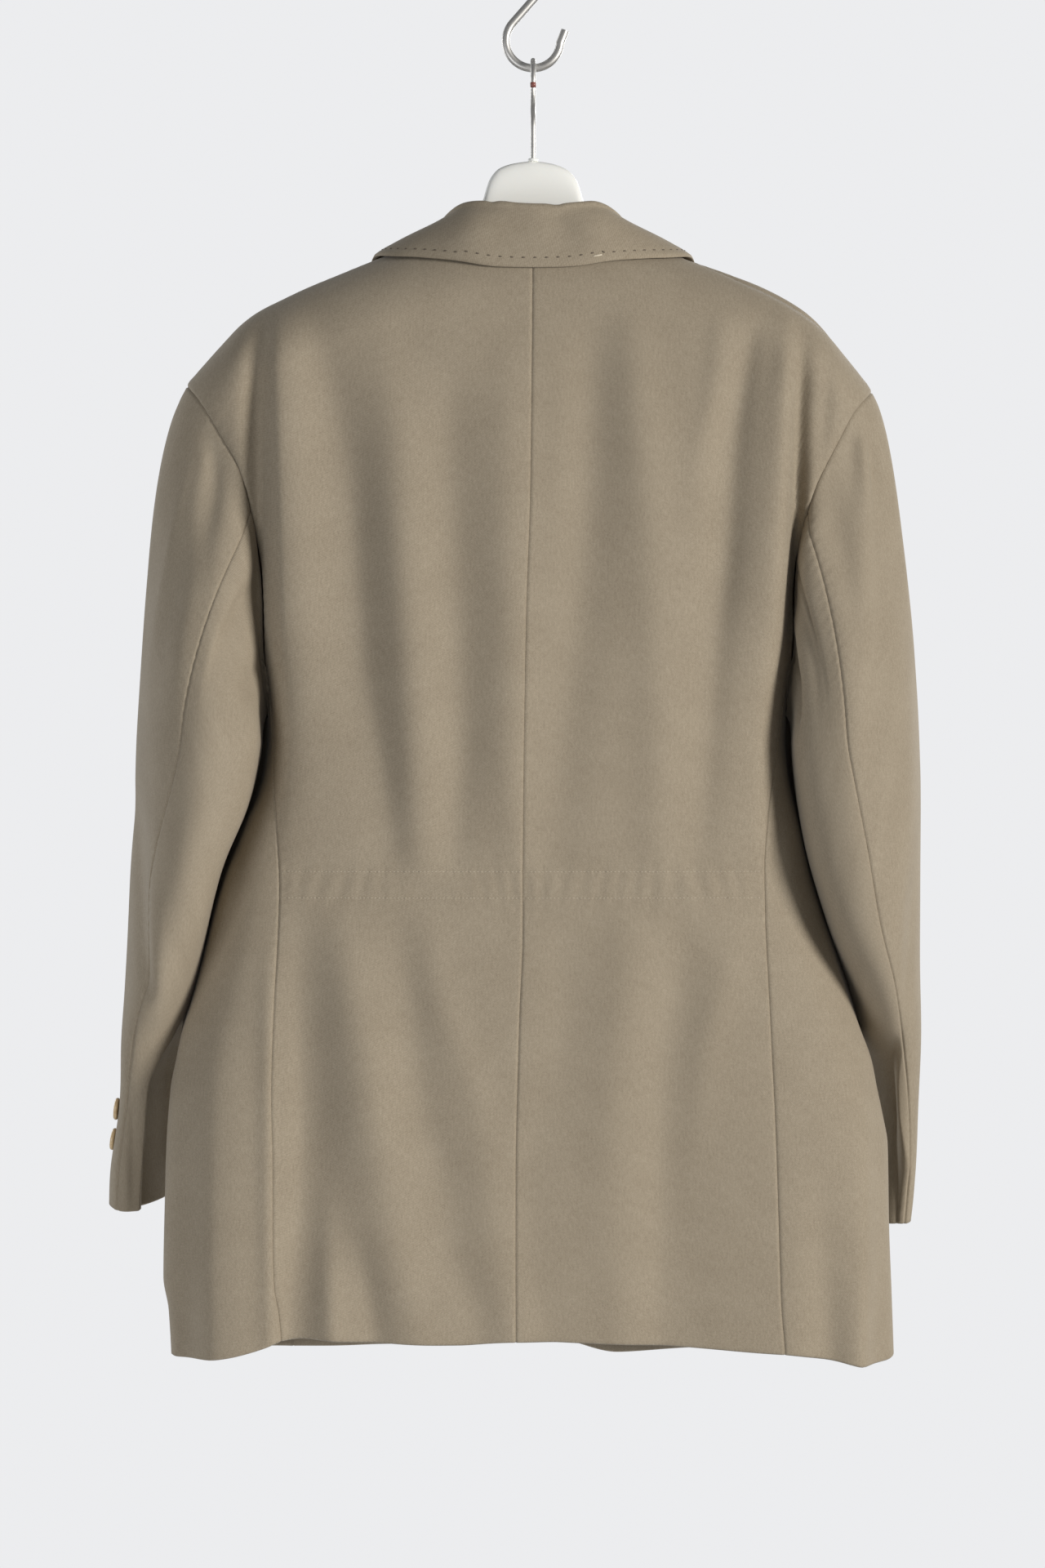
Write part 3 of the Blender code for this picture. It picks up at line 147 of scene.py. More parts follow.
# Folds of the back: drop, x, height towards the viewer, width to the left and to the right of it
BACK_FOLDS = (
    ("left armhole ridge", (
        (262, -172, 0, 9, 20), (300, -172, 2.5, 9, 22), (364, -172, 4.5, 8, 24), (433, -171, 5.5, 8, 26),
        (501, -170, 5.5, 8, 26), (569, -168, 4, 9, 26), (625, -166, 1, 10, 24), (655, -165, 0, 10, 22),
    )),
    ("left armhole valley", (
        (262, -186, 0, 8, 6), (300, -187, -4, 9, 6), (364, -188, -7.5, 9, 6), (433, -188, -8, 7, 6),
        (501, -187, -6, 6, 6), (575, -184, -2.5, 7, 7), (625, -182, 0, 8, 8),
    )),
    ("left blade valley", (
        (255, -154, 0, 14, 16), (300, -145, -2.5, 17, 18), (364, -131, -4.6, 24, 19),
        (433, -122, -5.6, 27, 18), (501, -117, -5.2, 27, 17), (569, -106, -3.6, 25, 15),
        (638, -98, -1.6, 20, 14), (660, -96, 0, 16, 14),
    )),
    ("left blade ridge", (
        (262, -106, 0, 14, 14), (319, -98, 1.6, 15, 17), (364, -92, 2.6, 16, 17), (433, -89, 3.2, 17, 17),
        (501, -84, 3.4, 17, 17), (569, -81, 3, 16, 16), (638, -78, 1.5, 14, 14), (664, -76, 0, 12, 12),
    )),
    ("left middle valley", (
        (300, -57, 0, 14, 14), (364, -57, -2.4, 16, 16), (433, -54, -3, 17, 17), (569, -50, -3, 15, 15),
        (638, -53, -1.4, 13, 13), (660, -53, 0, 12, 12),
    )),
    ("centre ridge", (
        (280, -16, 0, 14, 14), (364, -17, 2.3, 17, 17), (501, -15, 3, 17, 16), (569, -16, 2.6, 16, 14),
        (640, -13, 1.3, 14, 12), (664, -13, 0, 12, 12),
    )),
    ("right middle valley", (
        (262, 39, 0, 14, 16), (319, 39, -2.4, 15, 16), (433, 35, -3.4, 17, 19), (501, 29, -2.8, 17, 19),
        (569, 21, -2, 16, 18), (640, 17, -0.9, 14, 16), (662, 16, 0, 12, 12),
    )),
    ("right blade ridge", (
        (258, 66, 0, 13, 14), (319, 71, 2.2, 15, 16), (364, 74, 2.6, 16, 17), (433, 80, 2.6, 18, 18),
        (501, 83, 2.4, 18, 17), (569, 85, 2, 17, 16), (640, 84, 1.1, 14, 14), (664, 84, 0, 12, 12),
    )),
    ("right thin ridge", (
        (262, 128, 0, 8, 9), (290, 127, 1, 8, 8), (330, 122, 1, 8, 8), (380, 112, 0.5, 10, 9),
        (420, 108, 0, 11, 10),
    )),
    ("right blade valley", (
        (268, 152, 0, 10, 8), (300, 146, -2.6, 10, 8), (364, 135, -4.4, 14, 11), (433, 130, -4.4, 16, 12),
        (501, 123, -3, 16, 12), (569, 118, -2.4, 15, 12), (640, 113, -1.4, 14, 12), (664, 112, 0, 12, 12),
    )),
    ("right armhole ridge", (
        (262, 172, 0, 9, 5), (290, 173, 2.2, 9, 5), (340, 171, 5, 15, 5), (400, 169, 7, 19, 6),
        (433, 168, 8, 22, 7), (501, 166, 8.5, 27, 8), (569, 165, 6.5, 28, 9), (640, 158, 2, 22, 10),
        (664, 154, 0, 20, 10),
    )),
    ("right armhole valley", (
        (270, 183, 0, 5, 7), (300, 183, -4, 4, 8), (341, 181.5, -7, 4, 8), (400, 180.5, -9, 5, 7),
        (433, 179.5, -9, 6, 6), (478, 177, -8, 7, 6), (524, 175, -5.5, 8, 7), (569, 171, -3.5, 9, 8),
        (625, 166, -1.5, 9, 8), (660, 163, 0, 9, 9),
    )),
    ("right shoulder dent", (
        (290, 201, 0, 8, 6), (316, 201, -1.8, 8, 5), (345, 199, -2.2, 8, 5), (380, 194, 0, 7, 5),
    )),
    ("skirt left valley", (
        (672, -157, 0, 12, 14), (729, -158, -3, 14, 18), (820, -156, -4.6, 13, 22), (880, -157, -4.4, 13, 22),
        (957, -164, -3.4, 10, 18), (1010, -165, -3, 10, 16),
    )),
    ("skirt left ridge", (
        (668, -131, 0, 14, 14), (729, -124, 2.8, 17, 17), (775, -116, 3.8, 20, 18), (820, -110, 4.2, 22, 18),
        (866, -102, 3.8, 22, 19), (911, -94, 3.6, 20, 18), (957, -82, 2.2, 17, 17), (1010, -70, 1.6, 16, 16),
    )),
    ("skirt hem ridge", (
        (860, -142, 0, 10, 9), (911, -140, 1.6, 10, 9), (957, -138, 3.2, 11, 10), (1010, -136, 3.4, 12, 11),
    )),
    ("skirt hem valley", ((890, -122, 0, 9, 9), (957, -110, -2, 10, 11), (1010, -104, -2.6, 11, 12))),
    ("skirt middle valley", (
        (668, -95, 0, 14, 12), (729, -87, -1.9, 15, 14), (775, -81, -2.4, 16, 15), (820, -74, -2.4, 16, 16),
        (866, -61, -2, 16, 16), (911, -56, -1.8, 16, 15), (957, -38, -1.2, 15, 15), (1010, -34, -1, 15, 15),
    )),
    ("skirt middle ridge", (
        (668, -73, 0, 12, 12), (729, -65, 0.9, 13, 13), (775, -50, 1.1, 13, 13), (820, -36, 1.3, 14, 14),
        (911, -25, 1.1, 14, 14), (1010, -8, 1.2, 14, 14),
    )),
    ("skirt centre valley", (
        (670, 19, 0, 14, 16), (740, 22, -1.2, 16, 17), (800, 12, -0.9, 16, 17), (866, -4, -0.9, 12, 18),
        (1010, 20, -1, 14, 16),
    )),
    ("skirt right ridge", (
        (668, 64, 0, 15, 15), (701, 65, 1.6, 16, 17), (775, 57, 2, 18, 18), (820, 53, 2, 18, 18),
        (880, 52, 1.6, 20, 18), (957, 57, 1, 16, 15), (1010, 58, 0.8, 16, 15),
    )),
    ("skirt right valley", (
        (672, 103, 0, 14, 13), (729, 99, -2.2, 16, 16), (775, 92, -2.6, 16, 22), (866, 90, -3, 16, 32),
        (957, 90, -2.6, 16, 34), (1010, 90, -2.4, 16, 34),
    )),
    ("skirt right side ridge", (
        (680, 140, 0, 12, 12), (729, 130, 1.4, 13, 14), (775, 117, 1.2, 13, 14), (840, 108, 0.6, 13, 13),
        (900, 106, 0, 13, 13),
    )),
    ("left of the side seam", (
        (690, -181, 0, 6, 6), (760, -182, 1.2, 6, 6), (900, -181, 1.6, 6, 6), (1010, -178, 1.4, 6, 6),
    )),
)
# Folds of the side panels where they face the viewer: drop, x, height, widths
SIDE_FOLDS = {
    LEFT: (
        ("hollow under the arm", (
            (600, -196, 0, 8, 9), (660, -204, -4, 8, 10), (729, -226, -6, 9, 14), (800, -240, -3, 10, 14),
            (850, -244, 0, 10, 14),
        )),
        ("long fold", (
            (750, -214, 0, 13, 20), (820, -216, 4, 14, 32), (860, -217, 6, 14, 38), (940, -218, 8.5, 14, 40),
            (1010, -218, 9.5, 14, 40),
        )),
        ("hem dent", ((900, -241, 0, 7, 7), (957, -240, -2.5, 7, 8), (1010, -240, -3.5, 7, 8))),
    ),
    RIGHT: (
        ("hollow under the arm", (
            (600, 182, 0, 9, 8), (640, 188, -4, 9, 8), (690, 200, -6, 11, 9), (757, 220, -5, 13, 9),
            (820, 236, 0, 13, 9),
        )),
        ("long rise", (
            (690, 205, 0, 40, 10), (757, 218, 5, 60, 9), (820, 226, 9, 74, 9), (866, 226, 12, 78, 9),
            (957, 224, 14, 78, 10), (1010, 222, 14, 78, 10),
        )),
        ("hem ridge", (
            (800, 238, 0, 12, 8), (866, 235, 2, 12, 8), (957, 229, 3, 12, 9), (1010, 226, 3.5, 12, 9),
        )),
        ("hem hollow", (
            (840, 196, 0, 13, 13), (911, 198, -3.5, 13, 14), (957, 200, -5, 14, 12), (1010, 201, -6, 14, 12),
        )),
    ),
}
# Folds of the front, which isn't seen: x from the centre front, otherwise as above
FRONT_FOLDS = (
    ("chest", ((300, 108, 0, 16, 16), (400, 112, 3, 18, 18), (520, 110, 3, 18, 18), (600, 104, 0, 18, 18))),
    ("armhole", (
        (330, 158, 0, 12, 10), (420, 160, -4, 12, 10), (540, 156, -4, 12, 11), (640, 150, 0, 12, 12),
    )),
    ("skirt", ((700, 96, 0, 18, 18), (820, 104, 3.5, 20, 20), (940, 112, 5, 22, 22), (1010, 114, 5, 22, 22))),
    ("skirt inner", ((740, 48, 0, 16, 16), (860, 52, -2.5, 18, 18), (1010, 56, -3.5, 20, 20))),
)
# Folds of the sleeves where they face the viewer: drop, x, height, widths
SLEEVE_FOLDS = {
    LEFT: (
        ("head fold", (
            (352, -224, 0, 6, 5), (370, -226, 1.8, 7, 4), (400, -231, 1.6, 8, 6), (450, -236, 0, 9, 8),
        )),
        ("head hollow", (
            (352, -217, 0, 5, 5), (378, -218, -1.6, 6, 5), (430, -224, -1.6, 8, 8), (520, -232, -1.4, 10, 10),
            (590, -240, 0, 10, 10),
        )),
        ("arm ridge", (
            (420, -206, 0, 10, 9), (500, -206, 1.6, 12, 10), (600, -222, 1.4, 13, 11), (660, -236, 0, 12, 11),
        )),
        ("inner edge", (
            (400, -197, 0, 9, 8), (450, -197, 4, 9, 7), (540, -196, 6, 9, 7), (620, -205, 5, 10, 8),
            (700, -232, 2, 10, 8), (740, -245, 0, 9, 8),
        )),
        ("elbow crease", (
            (590, -279, 0, 4, 6), (606, -279, -3, 3, 8), (625, -276.5, -4, 3, 9), (660, -273.5, -4, 4, 10),
            (700, -270, -3.4, 5, 9), (727, -267, -3, 5, 8), (750, -264, 0, 6, 8),
        )),
        ("below the crease", (
            (640, -262, 0, 8, 9), (690, -258, 2.4, 8, 10), (730, -256, 2.8, 7, 10), (780, -262, 1.2, 7, 9),
            (820, -268, 0, 7, 8),
        )),
        ("cuff crease", (
            (800, -281, 0, 5, 6), (830, -281, -2, 4, 6), (870, -281, -2, 4, 6), (893, -281, -1, 4, 6),
        )),
    ),
    RIGHT: (
        ("inner edge", (
            (380, 190, 0, 8, 9), (430, 188, 4, 7, 9), (540, 186, 6, 7, 10), (620, 193, 5, 8, 10),
            (700, 214, 2, 8, 10), (740, 226, 0, 8, 9),
        )),
        ("head dart", (
            (344, 223, 0, 4, 4), (358, 226, 3, 5, 4), (385, 229, 2.6, 7, 5), (430, 226, 2, 12, 8),
            (520, 220, 1.2, 14, 10), (600, 222, 0, 13, 10),
        )),
        ("head hollow", (
            (350, 231, 0, 4, 6), (372, 234, -3, 4, 8), (400, 237, -3.6, 6, 9), (450, 240, -3.4, 8, 10),
            (520, 238, -2.6, 10, 10), (585, 230, -1.6, 12, 9), (640, 226, 0, 12, 9),
        )),
        ("outer ridge", (
            (420, 254, 0, 8, 9), (500, 257, 1.6, 9, 9), (600, 256, 2, 10, 10), (680, 250, 1.8, 11, 10),
            (760, 250, 0, 10, 10),
        )),
        ("forearm crease", (
            (640, 266, 0, 7, 5), (680, 262, -2, 8, 5), (730, 259, -2, 7, 5), (790, 262, 0, 6, 5),
        )),
    ),
}

# drop, outer x, short half-axis, long half-axis, y of the middle, lean of its back edge inwards
SLEEVE_SECTIONS = {
    LEFT: (
        (560, 278.7, 42.3, 80, 0, 12), (609, 279.3, 37.6, 78, 0, 13), (652, 283.2, 30.6, 75, 3, 13),
        (689, 285.6, 27.9, 71, 9, 11), (740, 289, 25.8, 67, 27, 3), (776, 290.7, 24, 63, 47, -10),
        (813, 291.8, 24, 59, 62, -16), (847, 295.8, 24.5, 58, 68, -20), (868, 299.2, 25, 57, 71, -21),
        (900, 300.2, 25, 56, 73, -21),
    ),
    RIGHT: (
        (560, 270.2, 42.7, 80, 0, 12), (587, 271.9, 42, 79, 0, 12.5), (631, 273, 39.4, 76, 2, 13),
        (689, 273.6, 32.3, 72, 10, 11), (740, 273.6, 25.8, 68, 34, 2), (785, 273.5, 24, 60, 64, -14),
        (822, 273.5, 23, 57, 80, -19), (857, 273.8, 23, 56, 86, -21), (882, 272.9, 23, 55, 89, -21),
        (910, 271.2, 23, 54, 91, -21),
    ),
}
# drop, distance of the sleeve's back seam from the middle plane
SLEEVE_SEAM = {
    LEFT: (
        (560, 238), (595, 246.5), (639, 259.3), (673, 265.4), (725, 265.6), (757, 274.5), (798, 282.2),
        (830, 287), (868, 292), (900, 294),
    ),
    RIGHT: (
        (560, 210.6), (601, 219.9), (639, 227.8), (693, 237.8), (740, 251.8), (782, 259.6), (819, 265.5),
        (860, 267.5), (910, 267),
    ),
}
SLEEVE_FRONT_SEAM_ANGLE = 228.0
# drop of the cuff at its back edge, rise per mm towards the front
CUFF = {LEFT: (893.5, 0.13), RIGHT: (906.5, 0.06)}

# Shares of the armhole's height where the solids have their rows
UPPER_ROWS = (0.0, 0.09, 0.18, 0.30, 0.42, 0.53, 0.64, 0.75, 0.85, 0.93, 1.0)
# Share of a panel's rows below the side panel's top, and the solids' columns along its seams
SPLIT = 0.6
SHOULDER_COLUMNS, BACK_NECK_COLUMNS, FRONT_NECK_COLUMNS, SIDE_COLUMNS = 9, 5, 3, 8

# The collar from centre back to its front end: along, x and drop of its fold, y of its fold,
# x and s of the edge of its fall, height of that edge over the cloth
COLLAR = (
    (0, 0, 195.4, -44.5, 0, 70, 1.3), (0.15, 20, 194.8, -42.5, 27, 67.5, 1.3),
    (0.3, 37, 194.4, -36.5, 54, 57.5, 1.3), (0.42, 47.5, 195.2, -28, 77, 44.5, 1.3),
    (0.54, 54.5, 197.5, -16.5, 95, 31.5, 1.3), (0.64, 58.5, 200.5, -5, 106.5, 15, 1.3),
    (0.72, 60.5, 203.5, 7.5, 111.5, -6, 1.3), (0.8, 60, 209, 21.5, 114, -28, 1.4),
    (0.88, 57, 219, 36, 112, -50, 1.6), (0.95, 50.5, 237, 50, 105, -68, 1.8),
    (1, 44.5, 256, 58.5, 97, -80, 2),
)
COLLAR_FOLD_RADIUS = 2.6
# Rows of the collar's stand, of the bend over its fold, and of its fall
STAND_ROWS, BEND_ROWS, FALL_ROWS = 9, 10, 33
FALL_START = STAND_ROWS + BEND_ROWS

# The hanger's body: x, drop of its top, height, half-depth
HANGER = (
    (-191, 272.5, 8, 12), (-186, 267, 14, 14), (-170, 258.8, 18, 15), (-145, 247.7, 20, 15),
    (-115, 235.6, 20, 14), (-85, 225.5, 20, 12), (-60, 218.5, 21, 9), (-44, 208, 25, 7.5), (-36, 188, 34, 7),
    (-30, 170, 48, 7), (-23, 162.6, 52, 7), (-12, 159.2, 52, 7), (0, 157.9, 52, 7), (12, 159.4, 52, 7),
    (23, 163.4, 51, 7), (30, 170.4, 47, 7), (36, 188, 34, 7), (44, 208, 25, 7.5), (60, 218.5, 21, 9),
    (85, 226, 20, 12), (115, 236.6, 20, 14), (145, 248.2, 20, 15), (170, 260.6, 18, 15), (186, 271, 14, 14),
    (191, 276.5, 8, 12),
)
HANGER_HALF, HANGER_TOP = 191, 157.9
# Radii of the wires and of their bends, distance between the S-hook's bowls
HANGER_WIRE, HANGER_HOOK_BEND = 1.8, 18.0
S_HOOK_WIRE, S_HOOK_BOWL, S_HOOK_BOWL_SPACING = 2.9, 19.0, 57.5
# Radius and thickness of the buttons, drops of those of the front
FRONT_BUTTON, CUFF_BUTTON = (10.5, 3.6), (7.8, 3.0)
FRONT_BUTTON_DROPS = (604.0, 720.0)
# drop of each cuff button, angle round the sleeve from its back edge
CUFF_BUTTONS = {LEFT: ((822.5, 54.0), (844.5, 54.0)), RIGHT: ((836.0, 118.0), (858.0, 118.0))}
CUFF_BUTTON_LIFT = {LEFT: 0.8, RIGHT: 0.1}
# Drops of the two rows of stitches at the waist, pitch of the puckers between them
CASING = (652.0, 670.0)
CASING_MIDDLE, PUCKER_PITCH = sum(CASING) / 2, 12.6
# Folds of the collar: drop, x, height, widths
COLLAR_FOLDS = (
    ("dimple", ((190, 14, 0, 4, 5), (199, 15, -3.2, 4, 6), (212, 19, -2.8, 5, 7), (236, 23, 0, 6, 9))),
    ("left swell", ((196, -38, 0, 12, 13), (214, -42, 3.2, 12, 13), (240, -48, 0.6, 16, 16))),
    ("right swell", ((196, 38, 0, 9, 13), (214, 43, 3, 11, 14), (240, 52, 0.5, 14, 16))),
)
# x, rise of the collar's top line
COLLAR_TOP = (
    (-75, 0), (-60, 0.6), (-46, 2.1), (-34, 1.6), (-28, 0.5), (-23, 1.1), (-10, 0), (8, -0.6), (16, -1.5),
    (22, -0.4), (32, 0.8), (43, 2.1), (58, 0.5), (75, 0),
)
# Distance of the collar's hand stitches from its edge, and from each other
STITCH_INSET, STITCH_PITCH = 6.0, 7.9
# x and drop of the pale bar of thread on the collar
THREAD_BAR = (43.2, 232.5)
# The folds of the back and of the side panels stand this many times higher than in their tables
FOLD_STRENGTH, SIDE_FOLD_STRENGTH = 1.55, 1.15
# Behind the sleeves the side panels swell to this far from the middle: drop, x outwards
SIDE_SWELL = {
    LEFT: (
        (500, 170), (515, 184), (540, 192.5), (560, 195), (580, 197.5), (600, 201), (620, 207), (640, 213),
        (680, 222), (720, 226), (760, 226),
    ),
    RIGHT: (
        (500, 165), (515, 176), (540, 182), (560, 184.5), (580, 186.5), (600, 188.5), (620, 191.5),
        (640, 195), (680, 203), (720, 208), (760, 208),
    ),
}
# Below the elbow the back of a sleeve turns inwards beyond a fold: drop, x, depth, width
SLEEVE_TURN = {
    LEFT: (
        (745, -240, 0, 6), (770, -252, 11, 6), (805, -269, 25, 6), (843, -273, 26, 6), (883, -277, 17, 9),
        (900, -278, 12, 10),
    ),
    RIGHT: (
        (765, 264, 0, 12), (795, 257, 9, 8), (826, 259, 13, 8), (850, 264, 12, 12), (878, 271, 9, 14),
        (912, 273, 8, 14),
    ),
}

TWILL_DARK, TWILL_MIDDLE, TWILL_LIGHT = (0.206, 0.166, 0.115), (0.30, 0.25, 0.19), (0.384, 0.331, 0.251)
WALL_COLOUR, ROOM_COLOUR, ROOM_STRENGTH = (0.84, 0.845, 0.86), (0.96, 0.98, 1.0), 0.19
CAMERA_DISTANCE, VIEW_HEIGHT = 2.5, 1.0944
VIEW_CENTRE_X, VIEW_CENTRE_Z = -0.0074, -0.5922
FLOOR_RADIUS, FLOOR_DROP, FLOOR_SECTORS = 1600, 1750.0, 96
# name, place and target in metres, size in metres, power in watts, colour
LIGHTS = (
    ("key", (5.0, -3.6, 0.1), (0.0, 0.0, -0.6), 2.0, 385.0, (1.0, 0.968, 0.92)),
    ("fill", (-1.2, -1.4, -0.8), (-0.15, 0.0, -0.62), 0.9, 10.5, (0.98, 0.985, 1.0)),
    ("behind", (1.4, 2.4, 0.3), (0.0, 0.0, -0.5), 1.8, 40.0, (1.0, 1.0, 1.0)),
    ("behind_left", (-2.2, 1.8, 0.1), (0.0, 0.0, -0.5), 1.8, 30.0, (1.0, 1.0, 1.0)),
)


# Curves and the body's form, for whole arrays of points

def curve(table, x, column=1):
    """The smooth curve through the table's rows at every x, without overshoot."""
    rows = np.array(table, float)
    keys, values = rows[:, 0], rows[:, column]
    x = np.clip(np.asarray(x, float), keys[0], keys[-1])
    slopes = np.diff(values) / np.diff(keys)
    both, total = slopes[:-1] * slopes[1:], slopes[:-1] + slopes[1:]
    inner = np.where(both > 0, 2 * both / np.where(both > 0, total, 1.0), 0.0)
    tangents = np.concatenate([slopes[:1], inner, slopes[-1:]])
    i = np.clip(np.searchsorted(keys, x, side="left") - 1, 0, len(keys) - 2)
    width = keys[i + 1] - keys[i]
    t = (x - keys[i]) / width
    return (
        (2 * t**3 - 3 * t**2 + 1) * values[i]
        + (t**3 - 2 * t**2 + t) * width * tangents[i]
        + (3 * t**2 - 2 * t**3) * values[i + 1]
        + (t**3 - t**2) * width * tangents[i + 1]
    )


def ease(t):
    t = np.clip(t, 0.0, 1.0)
    return t * t * (3 - 2 * t)


def unit(v):
    return v / np.maximum(np.linalg.norm(v, axis=-1, keepdims=True), 1e-12)


def dot(a, b):
    return (a * b).sum(axis=-1, keepdims=True)


def by_side(tables, x, key):
    return np.where(np.asarray(x) < 0, curve(tables[LEFT], key), curve(tables[RIGHT], key))


def drop_at(x, s):
    s = np.abs(s)
    arc = SHOULDER_ROUNDING * math.pi / 2
    bent = SHOULDER_ROUNDING * (1 - np.cos(np.minimum(s, arc) / SHOULDER_ROUNDING))
    return curve(RIDGE, x) + np.where(s < arc, bent, SHOULDER_ROUNDING + s - arc)


def s_at(x, drop):
    fall = np.maximum(drop - curve(RIDGE, x), 0.0)
    bent = np.arccos(np.clip(1 - fall / SHOULDER_ROUNDING, -1, 1))
    straight = math.pi / 2 - 1 + fall / SHOULDER_ROUNDING
    return SHOULDER_ROUNDING * np.where(fall < SHOULDER_ROUNDING, bent, straight)


def folds(table, x, drop):
    """Height of all folds of a table at x and drop."""
    height = np.zeros(np.broadcast(x, drop).shape)
    for _, rows in table:
        off = x - curve(rows, drop)
        width = np.where(off < 0, curve(rows, drop, 3), curve(rows, drop, 4))
        height += curve(rows, drop, 2) * np.exp(-((off / width) ** 2))
    return height


def casing_pucker(x, drop):
    """The ruched rows at the waist: the cloth bunches between the two rows of stitches."""
    left, right = curve(SIDE_SEAM[LEFT], drop), curve(SIDE_SEAM[RIGHT], drop)
    inside = ease((x - left - 1) / 6) * ease((right - 1 - x) / 6)
    rows = sum(np.exp(-(((drop - row) / 3.2) ** 2)) for row in CASING)
    off = drop - CASING_MIDDLE
    between = np.exp(-((off / 9.5) ** 4))
    near = np.exp(-((off / 19.0) ** 2))
    turns = (x + 2.2 * (off / 9.0) * np.sin(x / 29.0)) / PUCKER_PITCH
    phase = turns * 2 * math.pi + 1.7 * np.sin(x / 31.0) + 1.2 * np.sin(x / 13.0 + 1.3)
    ripple = np.sin(phase) * (0.55 + 0.3 * np.sin(x / 19.0 + 2.0) + 0.25 * np.sin(x / 47.0))
    fine = np.sin(x / 5.3 * 2 * math.pi + 1.7 * np.sin(x / 11.0))
    raised = between * (0.2 + 0.2 * ripple)
    return inside * (-0.45 * rows + raised + 0.22 * near * ripple + 0.16 * rows * fine)


def back_height(x, drop):
    height = FOLD_STRENGTH * folds(BACK_FOLDS, x, drop)
    left, right = folds(SIDE_FOLDS[LEFT], x, drop), folds(SIDE_FOLDS[RIGHT], x, drop)
    height += SIDE_FOLD_STRENGTH * np.where(x < 0, left, right)
    return height + casing_pucker(x, drop)


def skin(x, s, upper=False):
    """Outer face of the body's cloth; upper is the front that buttons over the other."""
    x, s = np.broadcast_arrays(np.asarray(x, float), np.asarray(s, float))
    drop = drop_at(x, s)
    across = np.minimum(np.abs(x) / by_side(HALF_WIDTH, x, drop), 1.0)
    section = (1 - across**SECTION_POWER) ** (1 / SECTION_POWER)
    rounding = np.sin(np.minimum(np.abs(s) / SHOULDER_ROUNDING, math.pi / 2))
    back = -curve(BACK_DEPTH, drop) * section * rounding
    back -= back_height(x, drop) * np.minimum(section * 1.6, 1.0)
    front = curve(FRONT_DEPTH, drop) * section * rounding
    front += folds(FRONT_FOLDS, np.abs(x), drop) * np.minimum(section * 1.6, 1.0)
    if upper:
        front += curve(UPPER_LIFT, drop) * np.where(x < 0, ease((80 + x) / 62), 1.0)
    return np.stack([x, np.where(s >= 0, back, front), -drop], axis=-1)


def side_skin(side, angle, drop):
    angle, drop = np.broadcast_arrays(np.asarray(angle, float), np.asarray(drop, float))
    x = side * curve(HALF_WIDTH[side], drop) * np.abs(np.sin(angle)) ** (2 / SECTION_POWER)
    bend = np.abs(np.cos(angle)) ** (2 / SECTION_POWER)
    inset = np.minimum(bend * 1.6, 1.0)
    back = -curve(BACK_DEPTH, drop) * bend - back_height(x, drop) * inset
    front = curve(FRONT_DEPTH, drop) * bend + folds(FRONT_FOLDS, np.abs(x), drop) * inset
    return np.stack([x, np.where(angle <= math.pi / 2, back, front), -drop], axis=-1)


def angle_at(side, x, drop):
    across = np.minimum(np.abs(x) / curve(HALF_WIDTH[side], drop), 1.0)
    return np.arcsin(across ** (SECTION_POWER / 2))


# Grids, meshes and seams

def spread(count, near=(0, 0.0025, 0.006, 0.0105, 0.016, 0.0235, 0.033)):
    """Shares from 0 to 1 that crowd at both ends, where the seams dip."""
    near = np.array(near)
    return np.concatenate([near, np.linspace(near[-1] * 1.35, 1 - near[-1] * 1.35, count), 1 - near[::-1]])


def patch(left, right, bottom, top, u, v):
    """(x, s) inside four border curves that each run from 0 to 1."""
    u, v = u[None, :, None], v[:, None, None]
    low, high = bottom(u[0, :, 0])[None], top(u[0, :, 0])[None]
    first, last = left(v[:, 0, 0])[:, None], right(v[:, 0, 0])[:, None]
    ends = [f(np.array([t]))[0] for f in (bottom, top) for t in (0.0, 1.0)]
    corners = (1 - u) * (1 - v) * ends[0] + u * (1 - v) * ends[1]
    corners = corners + (1 - u) * v * ends[2] + u * v * ends[3]
    return (1 - v) * low + v * high + (1 - u) * first + u * last - corners


def pair(x, s):
    return np.stack(np.broadcast_arrays(np.asarray(x, float), np.asarray(s, float)), axis=-1)


def joined(first, second, share):
    def both(t):
        early, late = first(np.minimum(t / share, 1.0)), second(np.clip((t - share) / (1 - share), 0, 1))
        return np.where((t < share)[:, None], early, late)

    return both


def through(points):
    points = np.array(points, float)
    lengths = np.concatenate([[0], np.cumsum(np.linalg.norm(np.diff(points, axis=0), axis=1))])
    return lambda t: np.stack([np.interp(t * lengths[-1], lengths, points[:, k]) for k in (0, 1)], axis=-1)


def steps_along(points, axis):
    """Distance from the first line of the grid, along rows or columns."""
    gaps = np.linalg.norm(np.diff(points, axis=axis), axis=-1)
    total = np.cumsum(gaps, axis=axis)
    zero = np.zeros_like(np.take(total, [0], axis=axis))
    return np.concatenate([zero, total], axis=axis)


def normals_of(points, flip=1.0, ring=False):
    if ring:
        wide = np.concatenate([points[:, -2:-1], points, points[:, 1:2]], axis=1)
        across = wide[:, 2:] - wide[:, :-2]
    else:
        across = np.gradient(points, axis=1)
    return unit(flip * np.cross(across, np.gradient(points, axis=0)))


def seam_dip(distance, along, depth=0.85, pucker=0.2):
    """How far the cloth sinks beside a seam, with the faint puckers that its stitches pull."""
    groove = depth * np.exp(-((distance / 0.75) ** 2)) + 0.14 * np.exp(-((distance / 4.5) ** 2))
    waves = np.sin(along / 8.3 * 2 * math.pi + 2.1 * np.sin(along / 31.0))
    return groove + pucker * waves * np.exp(-(((distance - 3.5) / 4.0) ** 2))


